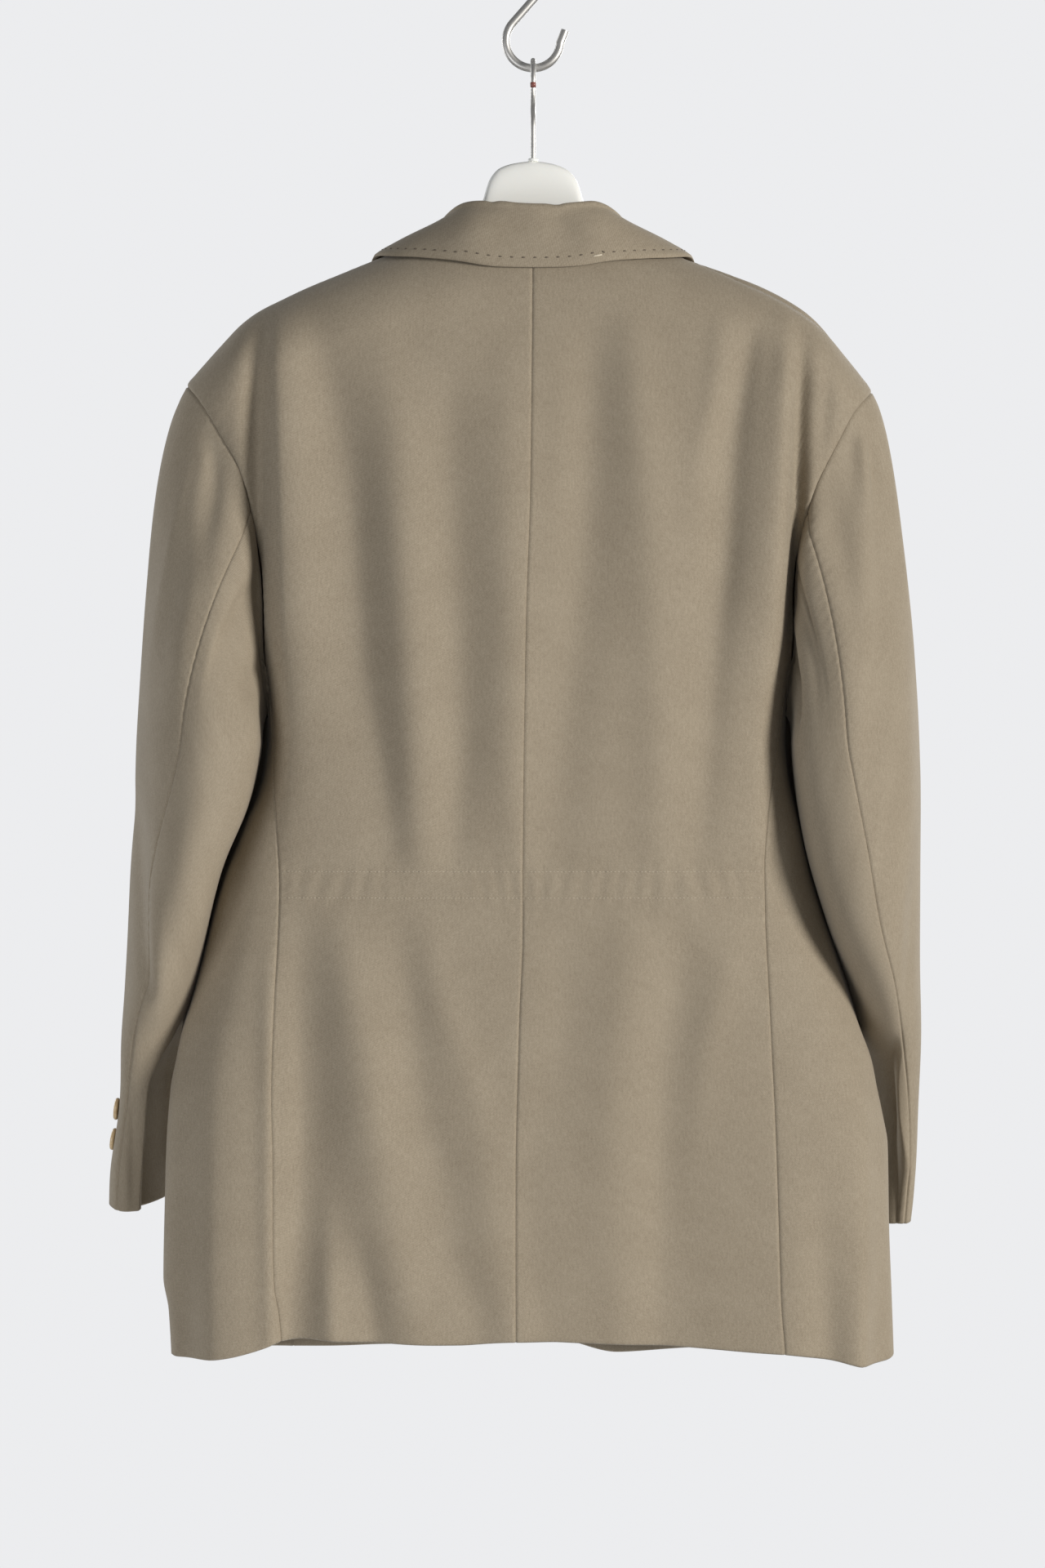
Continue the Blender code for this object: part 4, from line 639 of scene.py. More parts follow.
def sink_seams(points, normals, seams):
    """Lowers a grid beside those of its borders that are sewn: left, right, top, bottom."""
    across, down = steps_along(points, 1), steps_along(points, 0)
    places = {
        "left": (across, down),
        "right": (across[:, -1:] - across, down),
        "bottom": (down, across),
        "top": (down[-1:] - down, across),
    }
    depth = sum(seam_dip(*places[name]) for name in seams)
    return points - normals * depth[..., None]


def placed(name, data):
    """A new object of the scene."""
    piece = bpy.data.objects.new(name, data)
    bpy.context.scene.collection.objects.link(piece)
    return piece


def ridden(name, data):
    """A new piece that goes with the part's one body."""
    piece = placed(name, data)
    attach(piece, "root")
    return piece


def mesh_piece(name, points, faces, material, uv=None):
    mesh = bpy.data.meshes.new(name)
    points = np.asarray(points, float) * MM
    mesh.from_pydata(points.tolist(), [], faces)
    if uv is not None:
        layer = mesh.uv_layers.new(name="cut")
        corners = np.empty(len(mesh.loops), int)
        mesh.loops.foreach_get("vertex_index", corners)
        layer.data.foreach_set("uv", (np.asarray(uv) * MM)[corners].astype(np.float32).ravel())
    mesh.polygons.foreach_set("use_smooth", [True] * len(mesh.polygons))
    mesh.materials.append(material)
    mesh.update()
    return ridden(name, mesh)


def shell(name, points, normals, uv, wall=WALL):
    """Cloth with a wall: the grid, its inner face, and a rounded rim between them."""
    rows, columns = points.shape[:2]
    count = rows * columns
    wall = np.broadcast_to(np.asarray(wall, float), (rows, columns))[..., None]
    inner = points - normals * wall
    index = np.arange(count).reshape(rows, columns)
    a, b, c, d = index[:-1, :-1], index[:-1, 1:], index[1:, 1:], index[1:, :-1]
    outer_faces = np.stack([a, b, c, d], axis=-1).reshape(-1, 4)
    faces = np.concatenate([outer_faces, outer_faces[:, ::-1] + count])
    border = np.concatenate([index[0], index[1:, -1], index[-1, -2::-1], index[-2:0:-1, 0]])
    ahead = np.roll(border, -1)
    middle = 2 * count + np.arange(len(border))
    next_middle = np.roll(middle, -1)
    flat_points, flat_inner = points.reshape(-1, 3), inner.reshape(-1, 3)
    centre = (flat_points[border] + flat_inner[border]) / 2
    along = flat_points[ahead] - flat_points[np.roll(border, 1)]
    out = unit(np.cross(along, normals.reshape(-1, 3)[border]))
    middle_column = columns // 2
    if np.dot(out[middle_column], points[0, middle_column] - points[1, middle_column]) < 0:
        out = -out
    ridge = centre + out * wall.reshape(-1, 1)[border] * 0.42
    faces = np.concatenate([
        faces,
        np.stack([ahead, border, middle, next_middle], axis=-1),
        np.stack([next_middle, middle, border + count, ahead + count], axis=-1),
    ])
    flat_uv = uv.reshape(-1, 2)
    every = np.concatenate([flat_points, flat_inner, ridge])
    every_uv = np.concatenate([flat_uv, flat_uv, flat_uv[border]])
    piece = mesh_piece(name, every, faces.tolist(), twill, every_uv)
    if signed_volume(every, faces) < 0:
        piece.data.flip_normals()
    return piece


def signed_volume(points, faces):
    a, b, c, d = (points[faces[:, k]] for k in range(4))
    return (np.einsum("ij,ij->i", a, np.cross(b, c)) + np.einsum("ij,ij->i", a, np.cross(c, d))).sum()


def cloth(node, points, normals, uv, wall=WALL):
    """The shell of one node, which takes the place of the node's solid, now hidden."""
    piece = shell(f"{node}_cloth", points, normals, uv, wall)
    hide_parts(node)


# The body's panels

def outer_edge(side, drop):
    return np.where(drop < UNDERARM_SEAM, curve(ARMHOLE[side], drop), curve(SIDE_SEAM[side], drop))


def edge_drops(v, low, high):
    below = low + (UNDERARM_SEAM - low) * v / SPLIT
    above = UNDERARM_SEAM + (high - UNDERARM_SEAM) * (v - SPLIT) / (1 - SPLIT)
    return np.where(v < SPLIT, below, above)


def edge_up(side, sign, hem_drop):
    def line(v):
        drop = edge_drops(v, hem_drop, ARMHOLE[side][0][0])
        x = outer_edge(side, drop)
        return pair(x - side * GAP, sign * np.maximum(s_at(x, drop), GAP))

    return line


def middle_up(table, side, sign, hem_drop, top_drop, inset):
    def line(v):
        drop = edge_drops(v, hem_drop, top_drop)
        x = curve(table, drop) * (side if table is ROLL_LINE else 1) + side * inset
        return pair(x, sign * s_at(x, drop))

    return line


def shoulder_line(side, inset):
    end = abs(ARMHOLE[side][0][1]) - GAP

    def line(t):
        x = side * (NECK_SIDE + (end - NECK_SIDE) * t)
        return pair(x, curve(SHOULDER_SEAM, x) + inset)

    return line


def panel_top(side, sign, start, neck, columns):
    """Upper border of a body panel: the neck's seam from the end of the start line, then the shoulder's."""
    spots = [tuple(start(np.ones(1))[0])]
    spots += [(side * d, sign * float(s_at(side * d, z))) for d, z in neck[1:]]
    share = columns / (columns + SHOULDER_COLUMNS)
    return joined(through(spots), shoulder_line(side, sign * GAP), share)


def panel_shares():
    """Rows of a body panel from the hem to the shoulder, closer where the waist is ruched."""
    drops = np.concatenate([
        np.linspace(BACK_LOW, 690, 112), np.linspace(688, 636, 46), np.linspace(633, UNDERARM_SEAM, 52),
    ])
    lower = SPLIT * (BACK_LOW - drops) / (BACK_LOW - UNDERARM_SEAM)
    near = np.array([0, 0.004, 0.0095, 0.016, 0.024, 0.034, 0.047])
    upper = np.concatenate([np.linspace(0, 0.93, 104)[1:], 1 - near[::-1]])
    return np.concatenate([lower, SPLIT + (1 - SPLIT) * upper])


def hem_wall(points):
    """The wall is thicker where the hem is turned up inside."""
    up = steps_along(points, 0)
    return WALL + TURN_UP_WALL * (1 - ease((up - TURN_UP) / TURN_UP_EDGE))


def side_seam_low(side):
    """Drop of the back's hem at the side seam."""
    return float(curve(BACK_HEM, outer_edge(side, np.array(BACK_LOW))))


def body_panel(part, side, points, normals, uv, seams):
    """One panel of the body, sunk beside its seams and with a turned-up hem."""
    dipped = sink_seams(points, normals, seams)
    cloth(f"{part}_{WORD[side]}", dipped, normals, uv, hem_wall(points))


def back_panel(side):
    centre = middle_up(CENTRE_BACK, side, 1, CENTRE_HEM, BACK_NECK_DROP, GAP)
    outer = edge_up(side, 1, side_seam_low(side))
    start, end = centre(np.zeros(1))[0, 0], outer(np.zeros(1))[0, 0]

    def hem(u):
        x = start + (end - start) * u
        return pair(x, s_at(x, curve(BACK_HEM, x)))

    top = panel_top(side, 1, centre, BACK_NECK, BACK_NECK_COLUMNS)
    flat = patch(centre, outer, hem, top, spread(74), panel_shares())
    points = skin(flat[..., 0], flat[..., 1])
    body_panel("back", side, points, normals_of(points, side), flat, ("left", "right", "top"))


def underarm_drop(part):
    return UNDERARM_SEAM + (UNDERARM - UNDERARM_SEAM) * np.sin(math.pi * part)


def side_swell(side, points, drop):
    """How far the side panel swells behind the sleeve, so that no light shows between them."""
    turn, swell_y = math.pi / 3, 31
    bend = math.cos(turn) ** (2 / SECTION_POWER)
    plain = curve(HALF_WIDTH[side], drop) * math.sin(turn) ** (2 / SECTION_POWER) - 4 * bend
    off = points[..., 1] - swell_y
    near = np.exp(-((off / np.where(off < 0, 18.0, 25.0)) ** 2))
    return np.maximum(curve(SIDE_SWELL[side], drop) - plain, 0.0) * near


def side_panel(side):
    back_low = side_seam_low(side)
    v = spread(150)[:, None]
    u = spread(54)[None, :]
    edge_low = back_low + (FRONT_LOW - back_low) * u
    low = edge_low + (curve(SIDE_HEM[side], u) - edge_low) * (1 - np.abs(2 * u - 1) ** 8)
    drop = low + (underarm_drop(u) + GAP - low) * v
    seam_drop = edge_low + (UNDERARM_SEAM - edge_low) * v
    start = angle_at(side, outer_edge(side, seam_drop) + side * GAP, seam_drop)
    angle = start + (math.pi - 2 * start) * u
    points = side_skin(side, angle, drop)
    points[..., 0] += side * side_swell(side, points, drop) * np.sin(math.pi * u) ** 0.5
    uv = np.stack([steps_along(points, 1), -drop], axis=-1)
    body_panel("side", side, points, normals_of(points, side), uv, ("left", "right", "top"))


def front_panel(side):
    upper = side == LEFT
    low = FRONT_HEM[side][1][1]
    edge = middle_up(ROLL_LINE, side, -1, low, FRONT_NECK_DROP, 0.0)
    outer = edge_up(side, -1, FRONT_LOW)
    start, end = side * edge(np.zeros(1))[0, 0], abs(outer(np.zeros(1))[0, 0])

    def hem(u):
        out = start + (end - start) * u**1.5
        return pair(side * out, -s_at(side * out, curve(FRONT_HEM[side], out)))

    top = panel_top(side, -1, edge, FRONT_NECK[::-1], FRONT_NECK_COLUMNS)
    shares = panel_shares()
    shares = np.concatenate([shares[:-1:2], shares[-1:]])
    flat = patch(edge, outer, hem, top, spread(58), shares)
    body = skin(flat[..., 0], flat[..., 1], upper)
    body_normals = normals_of(body, -side)
    strip, strip_normals = lapel_strip(side, flat[:, 0], upper, low)
    points = np.concatenate([strip, body], axis=1)
    normals = np.concatenate([strip_normals, body_normals], axis=1)
    beyond = steps_along(strip[:, ::-1], 1)[:, ::-1] * side
    strip_uv = flat[:, :1] - np.stack([beyond, np.zeros(strip.shape[:2])], axis=-1)
    uv = np.concatenate([strip_uv, flat], axis=1)
    dipped = sink_seams(points, normals, ("right",))
    top_seam = seam_dip(steps_along(body, 0)[-1:] - steps_along(body, 0), steps_along(body, 1))
    dipped[:, strip.shape[1]:] -= body_normals * top_seam[..., None]
    cloth(f"front_{WORD[side]}", dipped, normals, uv, hem_wall(points))


def lapel_strip(side, start, upper, low):
    """The cloth beyond the roll line, from its free edge to the roll line, for every row."""
    drop = drop_at(start[:, 0], start[:, 1])[:, None]
    part = np.array(LAPEL_SHARES)[None]
    width = curve(LAPEL_WIDTH, drop)
    turn = math.pi * ease((CHEST_BREAK - drop) / 50)
    radius, gorge_slant = 3.0, 34.0
    above = np.maximum(0.0, (CHEST_BREAK - drop) / (CHEST_BREAK - FRONT_NECK_DROP))
    slant = gorge_slant * above**1.5
    corner = (FRONT_HEM[side][1][1] - FRONT_HEM[side][0][1]) * ease((drop - (low - 50)) / 50)
    base = skin(start[:, 0], start[:, 1], upper)[:, None]
    q = width * part
    bend = np.minimum(q / radius, turn)
    rest = q - bend * radius
    x = base[..., 0] - side * (radius * np.sin(bend) + rest * np.cos(bend))
    rise = radius * (1 - np.cos(bend)) + rest * np.sin(bend)
    here = drop + slant * part**1.2 - corner * part
    follow = skin(x, -s_at(x, here), upper)[..., 1] - base[..., 1]
    y = base[..., 1] + rise + follow * np.where(turn < 0.02, 1.0, ease(turn / math.pi))
    normals = np.stack([-side * np.sin(bend), np.cos(bend), np.zeros_like(bend)], axis=-1)
    return np.stack([x, y, -here], axis=-1), normals


# Sleeves and collar

# Places round the armhole in the solids' columns, from the sleeve's back seam at 0: the ridge, the
# sleeve's front seam, the side panel's front and back corners, and the back seam again
RIDGE_AT, FRONT_SEAM_AT, CORNER_AT, BACK_CORNER_AT, LOOP_END = 5, 13.0, 15, 23, 28.0
# Rounds of smoothing, rows of the cuff's turn-up, and how far the underarm moves inwards
SLEEVE_ROUNDS, COLLAR_ROUNDS, CUFF_ROWS, UNDERARM_SHIFT = 26, 40, 16, 2.2
# Shares of half the collar along the back neck and along the front's neck
BACK_SHARE, FRONT_SHARE = 0.68, 0.32


def loop_spot(side, place):
    """Points and outward normals on the armhole; place counts the solids' columns from the back seam."""
    rows = np.arange(len(UPPER_ROWS))
    shoulder = ARMHOLE[side][0][0]

    def on_edge(row, sign):
        drop = UNDERARM_SEAM + (shoulder - UNDERARM_SEAM) * np.interp(row, rows, UPPER_ROWS)
        x = curve(ARMHOLE[side], drop)
        s = sign * s_at(x, drop)
        return skin(x, s), panel_normal(x, s)

    part = np.clip(1 - (place - CORNER_AT) / SIDE_COLUMNS, 0, 1)
    start = angle_at(side, outer_edge(side, np.array(UNDERARM_SEAM)), UNDERARM_SEAM)
    angle = start + (math.pi - 2 * start) * part
    low = underarm_drop(part)
    under = side_skin(side, angle, low), side_panel_normal(side, angle, low)
    last = len(UPPER_ROWS) - 1
    pieces = (
        (place <= RIDGE_AT, on_edge(RIDGE_AT + place, 1)),
        ((place > RIDGE_AT) & (place <= CORNER_AT), on_edge(np.clip(CORNER_AT - place, 0, last), -1)),
        ((place > CORNER_AT) & (place <= BACK_CORNER_AT), under),
        (place > BACK_CORNER_AT, on_edge(np.clip(place - BACK_CORNER_AT, 0, last), 1)),
    )
    points, normals = np.zeros((len(place), 3)), np.zeros((len(place), 3))
    for chosen, (p, n) in pieces:
        points[chosen], normals[chosen] = p[chosen], n[chosen]
    return points, normals


def panel_normal(x, s, upper=False):
    along = skin(x + 0.6, s, upper) - skin(x - 0.6, s, upper)
    down = skin(x, s + 0.6, upper) - skin(x, s - 0.6, upper)
    return unit(np.cross(down, along))


def side_panel_normal(side, angle, drop):
    around = side_skin(side, angle + 0.01, drop) - side_skin(side, angle - 0.01, drop)
    down = side_skin(side, angle, drop + 0.8) - side_skin(side, angle, drop - 0.8)
    return unit(np.cross(down, around) * side)


def section(side, drop):
    outer, short, long, middle, lean = (curve(SLEEVE_SECTIONS[side], drop, k) for k in range(1, 6))
    return outer, short, long, middle, np.radians(lean)


def sleeve_point(side, drop, angle):
    outer, short, long, middle, lean = section(side, drop)
    reach = np.hypot(long * np.sin(lean), short * np.cos(lean))
    x = outer - reach - long * np.sin(lean) * np.cos(angle) + short * np.cos(lean) * np.sin(angle)
    y = middle - long * np.cos(lean) * np.cos(angle) - short * np.sin(lean) * np.sin(angle)
    return np.stack(np.broadcast_arrays(side * x, y, -drop), axis=-1)


def sleeve_angle(side, drop, place):
    outer, short, long, _, lean = section(side, drop)
    reach = np.hypot(long * np.sin(lean), short * np.cos(lean))
    off = (curve(SLEEVE_SEAM[side], drop) - outer + reach) / reach
    start = np.arctan2(long * np.sin(lean), short * np.cos(lean)) + np.arcsin(np.clip(off, -1, 1))
    front = math.radians(SLEEVE_FRONT_SEAM_ANGLE)
    over = start + (front - start) * place / FRONT_SEAM_AT
    under = front + (start + 2 * math.pi - front) * (place - FRONT_SEAM_AT) / (LOOP_END - FRONT_SEAM_AT)
    return np.where(place <= FRONT_SEAM_AT, over, under)


def sleeve_tube(side, place):
    """The whole sleeve as rows of rings, from the armhole to the cuff."""
    start, normal = loop_spot(side, place)
    ring = np.concatenate([start[-2:-1], start, start[1:2]])
    away = unit(np.cross(normal, ring[2:] - ring[:-2])) * -side
    fall = ease((-start[:, 2:] - ARMHOLE[side][0][0]) / (UNDERARM - ARMHOLE[side][0][0]))
    toward = away * (1 - 0.75 * fall) + normal * ease(1.3 * fall)
    droop = 0.1 * (1 - fall) ** 2 + 1.1 * np.sin(math.pi * np.minimum(fall * 1.25, 1.0)) ** 2
    down = np.array([0.0, 0.0, -1.0])
    toward = unit(toward + down * droop)
    first = start + away * 2.4 * GAP
    end = sleeve_point(side, np.full(len(place), SLEEVE_BICEP), sleeve_angle(side, SLEEVE_BICEP, place))
    span = np.linalg.norm(end - first, axis=-1, keepdims=True)
    lean = 0.03 * (1 - fall) ** 2
    handle = unit(np.concatenate([-side * lean, np.zeros_like(lean), np.ones_like(lean)], axis=-1))
    one = first + toward * np.maximum((0.134 + 0.086 * fall) * span, 5.0)
    two = end + handle * np.maximum((0.405 - 0.02 * fall) * span, 9.0)
    near = [0, 0.004, 0.01, 0.018, 0.028, 0.04, 0.055]
    t = np.concatenate([near, np.linspace(0.075, 1, 74)])[:, None, None]
    cap = (1 - t) ** 3 * first + 3 * t * (1 - t) ** 2 * one + 3 * t * t * (1 - t) * two + t**3 * end
    low, rise = CUFF[side]
    drops = np.linspace(SLEEVE_BICEP, low, 116)[1:, None]
    arm = sleeve_point(side, drops, sleeve_angle(side, drops, place[None, :]))
    arm[..., 2] += rise * (arm[..., 1] - 10) * ease((drops - 780) / (low - 780))
    return np.concatenate([cap, arm])


def relax(points, rounds, keep=3):
    """Evens out the rows of a tube away from its first rows."""
    for _ in range(rounds):
        points[keep:-1] = 0.25 * points[keep - 1 : -2] + 0.5 * points[keep:-1] + 0.25 * points[keep + 1 :]
    return points


def sleeve(side):
    top = FRONT_SEAM_AT * spread(76, (0, 0.003, 0.007, 0.012, 0.018, 0.026, 0.036))
    under_shares = spread(66, (0, 0.004, 0.009, 0.015, 0.023, 0.034, 0.048))
    under = FRONT_SEAM_AT + (LOOP_END - FRONT_SEAM_AT) * under_shares
    place = np.concatenate([top, under[1:]])
    points = relax(sleeve_tube(side, place), SLEEVE_ROUNDS)
    normals = normals_of(points, -side, ring=True)
    facing = ease(-normals[..., 1] * 2.2 + 0.1)
    height = folds(SLEEVE_FOLDS[side], points[..., 0], -points[..., 2]) * facing
    wide = np.sin(points[..., 2] / 41.0 + 2.0 * normals[..., 0]) * 1.1 * (1 - facing)
    fade = ease((np.arange(len(points)) - 2) / 14.0)[:, None]
    points = points + normals * ((height + wide) * fade)[..., None]
    drop = -points[..., 2]
    inward = UNDERARM_SHIFT * np.exp(-(((drop - 575) / 48) ** 2)) * ease(-side * normals[..., 0])
    fold_x, depth, width = (curve(SLEEVE_TURN[side], drop, k) for k in (1, 2, 3))
    past = (points[..., 0] - fold_x) * -side / width
    recess = depth * ease(past) * ease(-normals[..., 1] * 3 + 0.3)
    points[..., 0] -= side * inward
    points -= normals * recess[..., None]
    normals = normals_of(points, -side, ring=True)
    uv = np.stack([steps_along(points, 1), -steps_along(points, 0)], axis=-1)
    split = len(top)
    row = np.arange(len(points)) - (len(points) - CUFF_ROWS)
    low_wall = WALL + TURN_UP_WALL * ease(row / TURN_UP_EDGE)[:, None]
    pieces = (("top", slice(0, split)), ("under", slice(split - 1, len(place))))
    for piece, columns in pieces:
        part, part_normals = points[:, columns].copy(), normals[:, columns]
        for edge, beside in ((0, 1), (-1, -2)):
            part[:, edge] += unit(part[:, beside] - part[:, edge]) * GAP
        dipped = sink_seams(part, part_normals, ("left", "right", "bottom"))
        wall = np.broadcast_to(low_wall, part.shape[:2])
        cloth(f"sleeve_{WORD[side]}_{piece}", dipped, part_normals, uv[:, columns], wall)


def neck_base(side, along):
    back = NECK_SIDE * np.sin(math.pi / 2 * np.minimum(along / BACK_SHARE, 1.0))
    table = [(i, *row) for i, row in enumerate(FRONT_NECK)]
    spot = np.clip((along - BACK_SHARE) / FRONT_SHARE, 0, 1) * (len(table) - 1)
    front, front_drop = curve(table, spot, 1), curve(table, spot, 2)
    x = side * np.where(along < BACK_SHARE, back, front)
    s = np.where(along < BACK_SHARE, s_at(x, curve(BACK_NECK, back)), -s_at(x, front_drop))
    point = skin(x, s) - panel_normal(x, s) * WALL / 2
    point[..., 0] -= side * 1.6 * ease((along - 0.45) / 0.3)
    point[..., 2] += 1.6 + 0.9 * ease(along / 0.6)
    return point


def collar_sections(side, along):
    """The middle line of the folded collar at each place, from its foot over the fold to its edge."""
    top_x, top_drop, top_y, edge_x, edge_s, over = (curve(COLLAR, along, k) for k in range(1, 7))
    foot = neck_base(side, along)
    top = np.stack([side * top_x, top_y, -top_drop], axis=-1)
    edge = skin(side * edge_x, edge_s)
    edge = edge + panel_normal(side * edge_x, edge_s) * (over + COLLAR_WALL / 2)[:, None]
    out = unit((edge - foot) * np.array([1.0, 1.0, 0.0]))
    out[along < 0.05] = (0.0, -1.0, 0.0)
    up = np.array([0.0, 0.0, 1.0])
    r = COLLAR_FOLD_RADIUS
    line = [foot + (top - up * r - foot) * t for t in np.linspace(0, 1, STAND_ROWS)]
    centre = top + out * r - up * r
    turn = np.linspace(0, math.pi, BEND_ROWS + 1)[1:]
    line += [centre - out * r * math.cos(a) + up * r * math.sin(a) for a in turn]
    start = line[-1]
    for t in np.linspace(0, 1, FALL_ROWS + 1)[1:]:
        bow = 2.6 * math.sin(math.pi * t)
        rise = bow * 0.8 * ease(along / 0.4)
        line.append(start + (edge - start) * t + out * bow * 0.6 + up * rise[:, None])
    return np.stack(line, axis=0), out


def collar():
    """Stand and fall in one folded strip; its edge is sewn round, so it is rounded and grooved."""
    half = np.concatenate([np.linspace(0, 0.9, 92), np.linspace(0.906, 1.0, 14)])
    right, out_right = collar_sections(RIGHT, half)
    left, out_left = collar_sections(LEFT, half[1:])
    line = np.concatenate([left[:, ::-1], right], axis=1)
    out = np.concatenate([out_left[::-1], out_right])[None]
    up = np.array([0.0, 0.0, 1.0])
    ahead = np.gradient(line, axis=0)
    level = dot(ahead, out)
    normals = unit(out * -ahead[..., 2:] + up * level)
    lengths = steps_along(line, 0)
    rest = lengths[-1:] - lengths
    x, drop = line[..., 0], -line[..., 2]
    fall = (np.arange(len(line)) >= FALL_START)[:, None]
    crest, bend_end = STAND_ROWS + BEND_ROWS // 2, FALL_START - 1
    soft = folds(COLLAR_FOLDS, x, drop) * fall * ease((drop - 196) / 8)
    line = line + normals * soft[..., None]
    down = ease((lengths - lengths[bend_end]) / np.maximum(rest[bend_end], 1.0))
    line[..., 2] += curve(COLLAR_TOP, x) * np.exp(-((lengths - lengths[crest]) / 13.0) ** 2)
    line[..., 2] -= 2.1 * down * fall * np.exp(-((x / 58.0) ** 2))
    for _ in range(COLLAR_ROUNDS):
        part = line[FALL_START:]
        near = ease((78 - np.abs(part[:, 1:-1, :1])) / 22)
        part[:, 1:-1] += near * (0.25 * (part[:, :-2] + part[:, 2:]) - 0.5 * part[:, 1:-1])
    half_wall = COLLAR_WALL / 2 + 0.35 * np.exp(-(((rest - 6.5) / 5.0) ** 2))
    half_wall = half_wall - 0.28 * np.exp(-(((rest - STITCH_INSET) / 0.9) ** 2)) * fall
    half_wall = half_wall * np.sqrt(np.clip(1 - (1 - np.minimum(rest / 1.6, 1.0)) ** 2, 0.1, 1))
    outer = line + normals * half_wall[..., None]
    inner = line - normals * half_wall[..., None]
    uv = np.stack([steps_along(line, 1), lengths], axis=-1)
    cloth("collar", outer, normals, uv, np.linalg.norm(outer - inner, axis=-1))
    return outer, normals, rest


def tube_piece(name, paths, radius, material, resolution=1):
    """Short threads or wires along lists of points, as one piece."""
    data = bpy.data.curves.new(name, "CURVE")
    data.dimensions = "3D"
    data.bevel_depth = radius * MM
    data.bevel_resolution = resolution
    data.use_fill_caps = True
    for path in paths:
        spline = data.splines.new("POLY")
        spline.points.add(len(path) - 1)
        for place, point in zip(spline.points, path):
            place.co = (*[float(c) * MM for c in point], 1.0)
        spline.use_smooth = True
    data.materials.append(material)
    return ridden(name, data)


def surface_path(points, lift):
    return [tuple(p) for p in points + lift]


def pick_stitches(outer, normals, rest):
    """Small hand stitches along the collar's edge."""
    columns = outer.shape[1]
    row = [int(np.argmin(np.abs(rest[:, c] - STITCH_INSET))) for c in range(columns)]
    path = np.array([outer[row[c], c] for c in range(columns)])
    lift = np.array([normals[row[c], c] for c in range(columns)])
    length = steps_along(path[None], 1)[0]
    threads = []
    heights = np.array([-0.3, 0.1, 0.1, -0.3])[:, None]
    for at in np.arange(STITCH_INSET, length[-1] - STITCH_INSET, STITCH_PITCH):
        ends = [at - 0.9, at - 0.45, at + 0.45, at + 0.9]
        spots, facing = (
            np.stack([np.interp(ends, length, rows[:, k]) for k in range(3)], axis=-1) for rows in (path, lift)
        )
        threads.append(surface_path(spots, facing * heights))
    tube_piece("collar_pick_stitches", threads, 0.5, dark_thread)


def thread_bar(outer, normals):
    """One pale bar of thread near the collar's edge."""
    fall = outer[FALL_START:]
    away = np.hypot(fall[..., 0] - THREAD_BAR[0], fall[..., 2] + THREAD_BAR[1])
    r, c = np.unravel_index(int(np.argmin(away)), away.shape)
    r += FALL_START
    across = unit(outer[r, c + 2] - outer[r, c - 2])
    middle, out = outer[r, c], normals[r, c]
    steps = ((-2.9, -0.2), (-2.5, 0.22), (0.0, 0.26), (2.5, 0.22), (2.9, -0.2))
    strands = [middle + np.array([0, 0, rise]) for rise in (0, 0.5)]
    threads = [[tuple(start + (across * a + out * h)) for a, h in steps] for start in strands]
    tube_piece("collar_thread_bar", threads, 0.28, pale_thread)


def casing_stitches():
    """Two rows of running stitches through the back, across the waist."""
    threads, pitch, seam_margin = [], 2.6, 2.2
    heights = np.array([-0.3, 0.14, 0.14, -0.3])[:, None]
    for drop in CASING:
        x = curve(SIDE_SEAM[LEFT], drop) + 3.0
        end = curve(SIDE_SEAM[RIGHT], drop) - 3.0
        while x < end:
            if abs(x - curve(CENTRE_BACK, drop)) > seam_margin:
                spots = np.array([x, x + 0.35, x + 1.25, x + 1.6])
                s = s_at(spots, np.full(4, drop))
                threads.append(surface_path(skin(spots, s), panel_normal(spots, s) * heights))
            x += pitch
    tube_piece("waist_casing_stitches", threads, 0.24, light_thread)


def casing_strip():
    drops = np.linspace(CASING[0], CASING[1], 9)[:, None]
    start, end = curve(SIDE_SEAM[LEFT], drops) + 4, curve(SIDE_SEAM[RIGHT], drops) - 4
    x = start + (end - start) * np.linspace(0, 1, 180)[None]
    s = s_at(x, np.broadcast_to(drops, x.shape))
    points = skin(x, s)
    normals = -normals_of(points, 1)
    normals = normals * np.sign(-normals[4, 90, 1])
    points = points - normals * (WALL + 0.45)
    uv = np.stack([x, s], axis=-1)
    cloth("waist_casing", points, normals, uv, 1.0)


# Hanger, hooks and buttons

def hanger():
    """The hanger's body as a smooth loft through the solid's sections, with its moulding line."""
    x = np.linspace(-HANGER_HALF, HANGER_HALF, 230)
    turn = np.linspace(0, 2 * math.pi, 49)[:-1]
    top, height, depth = (curve(HANGER, x, k)[:, None] for k in (1, 2, 3))
    ends = np.sqrt(np.clip(1 - (np.abs(x) / (HANGER_HALF + 1.5)) ** 60, 0.02, 1))[:, None]
    power = 2 / 2.6
    c, s = np.cos(turn)[None], np.sin(turn)[None]
    across = np.sign(c) * np.abs(c) ** power * depth * ends * 0.985
    rise = np.sign(s) * np.abs(s) ** power * height / 2 * ends
    rib = 0.35 * np.exp(-((c / 0.05) ** 2))
    z = -top - height / 2 + rise + np.sign(s) * rib
    points = np.stack([np.broadcast_to(x[:, None], across.shape), across, z], axis=-1)
    rows, columns = points.shape[:2]
    index = np.arange(rows * columns).reshape(rows, columns)
    nxt = np.roll(index, -1, axis=1)
    faces = np.stack([index[:-1], nxt[:-1], nxt[1:], index[1:]], axis=-1).reshape(-1, 4).tolist()
    faces += [index[0][::-1].tolist(), index[-1].tolist()]
    piece = mesh_piece("hanger_body_plastic", points.reshape(-1, 3), faces, plastic)
    fix_normals(piece)
    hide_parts("hanger_body")


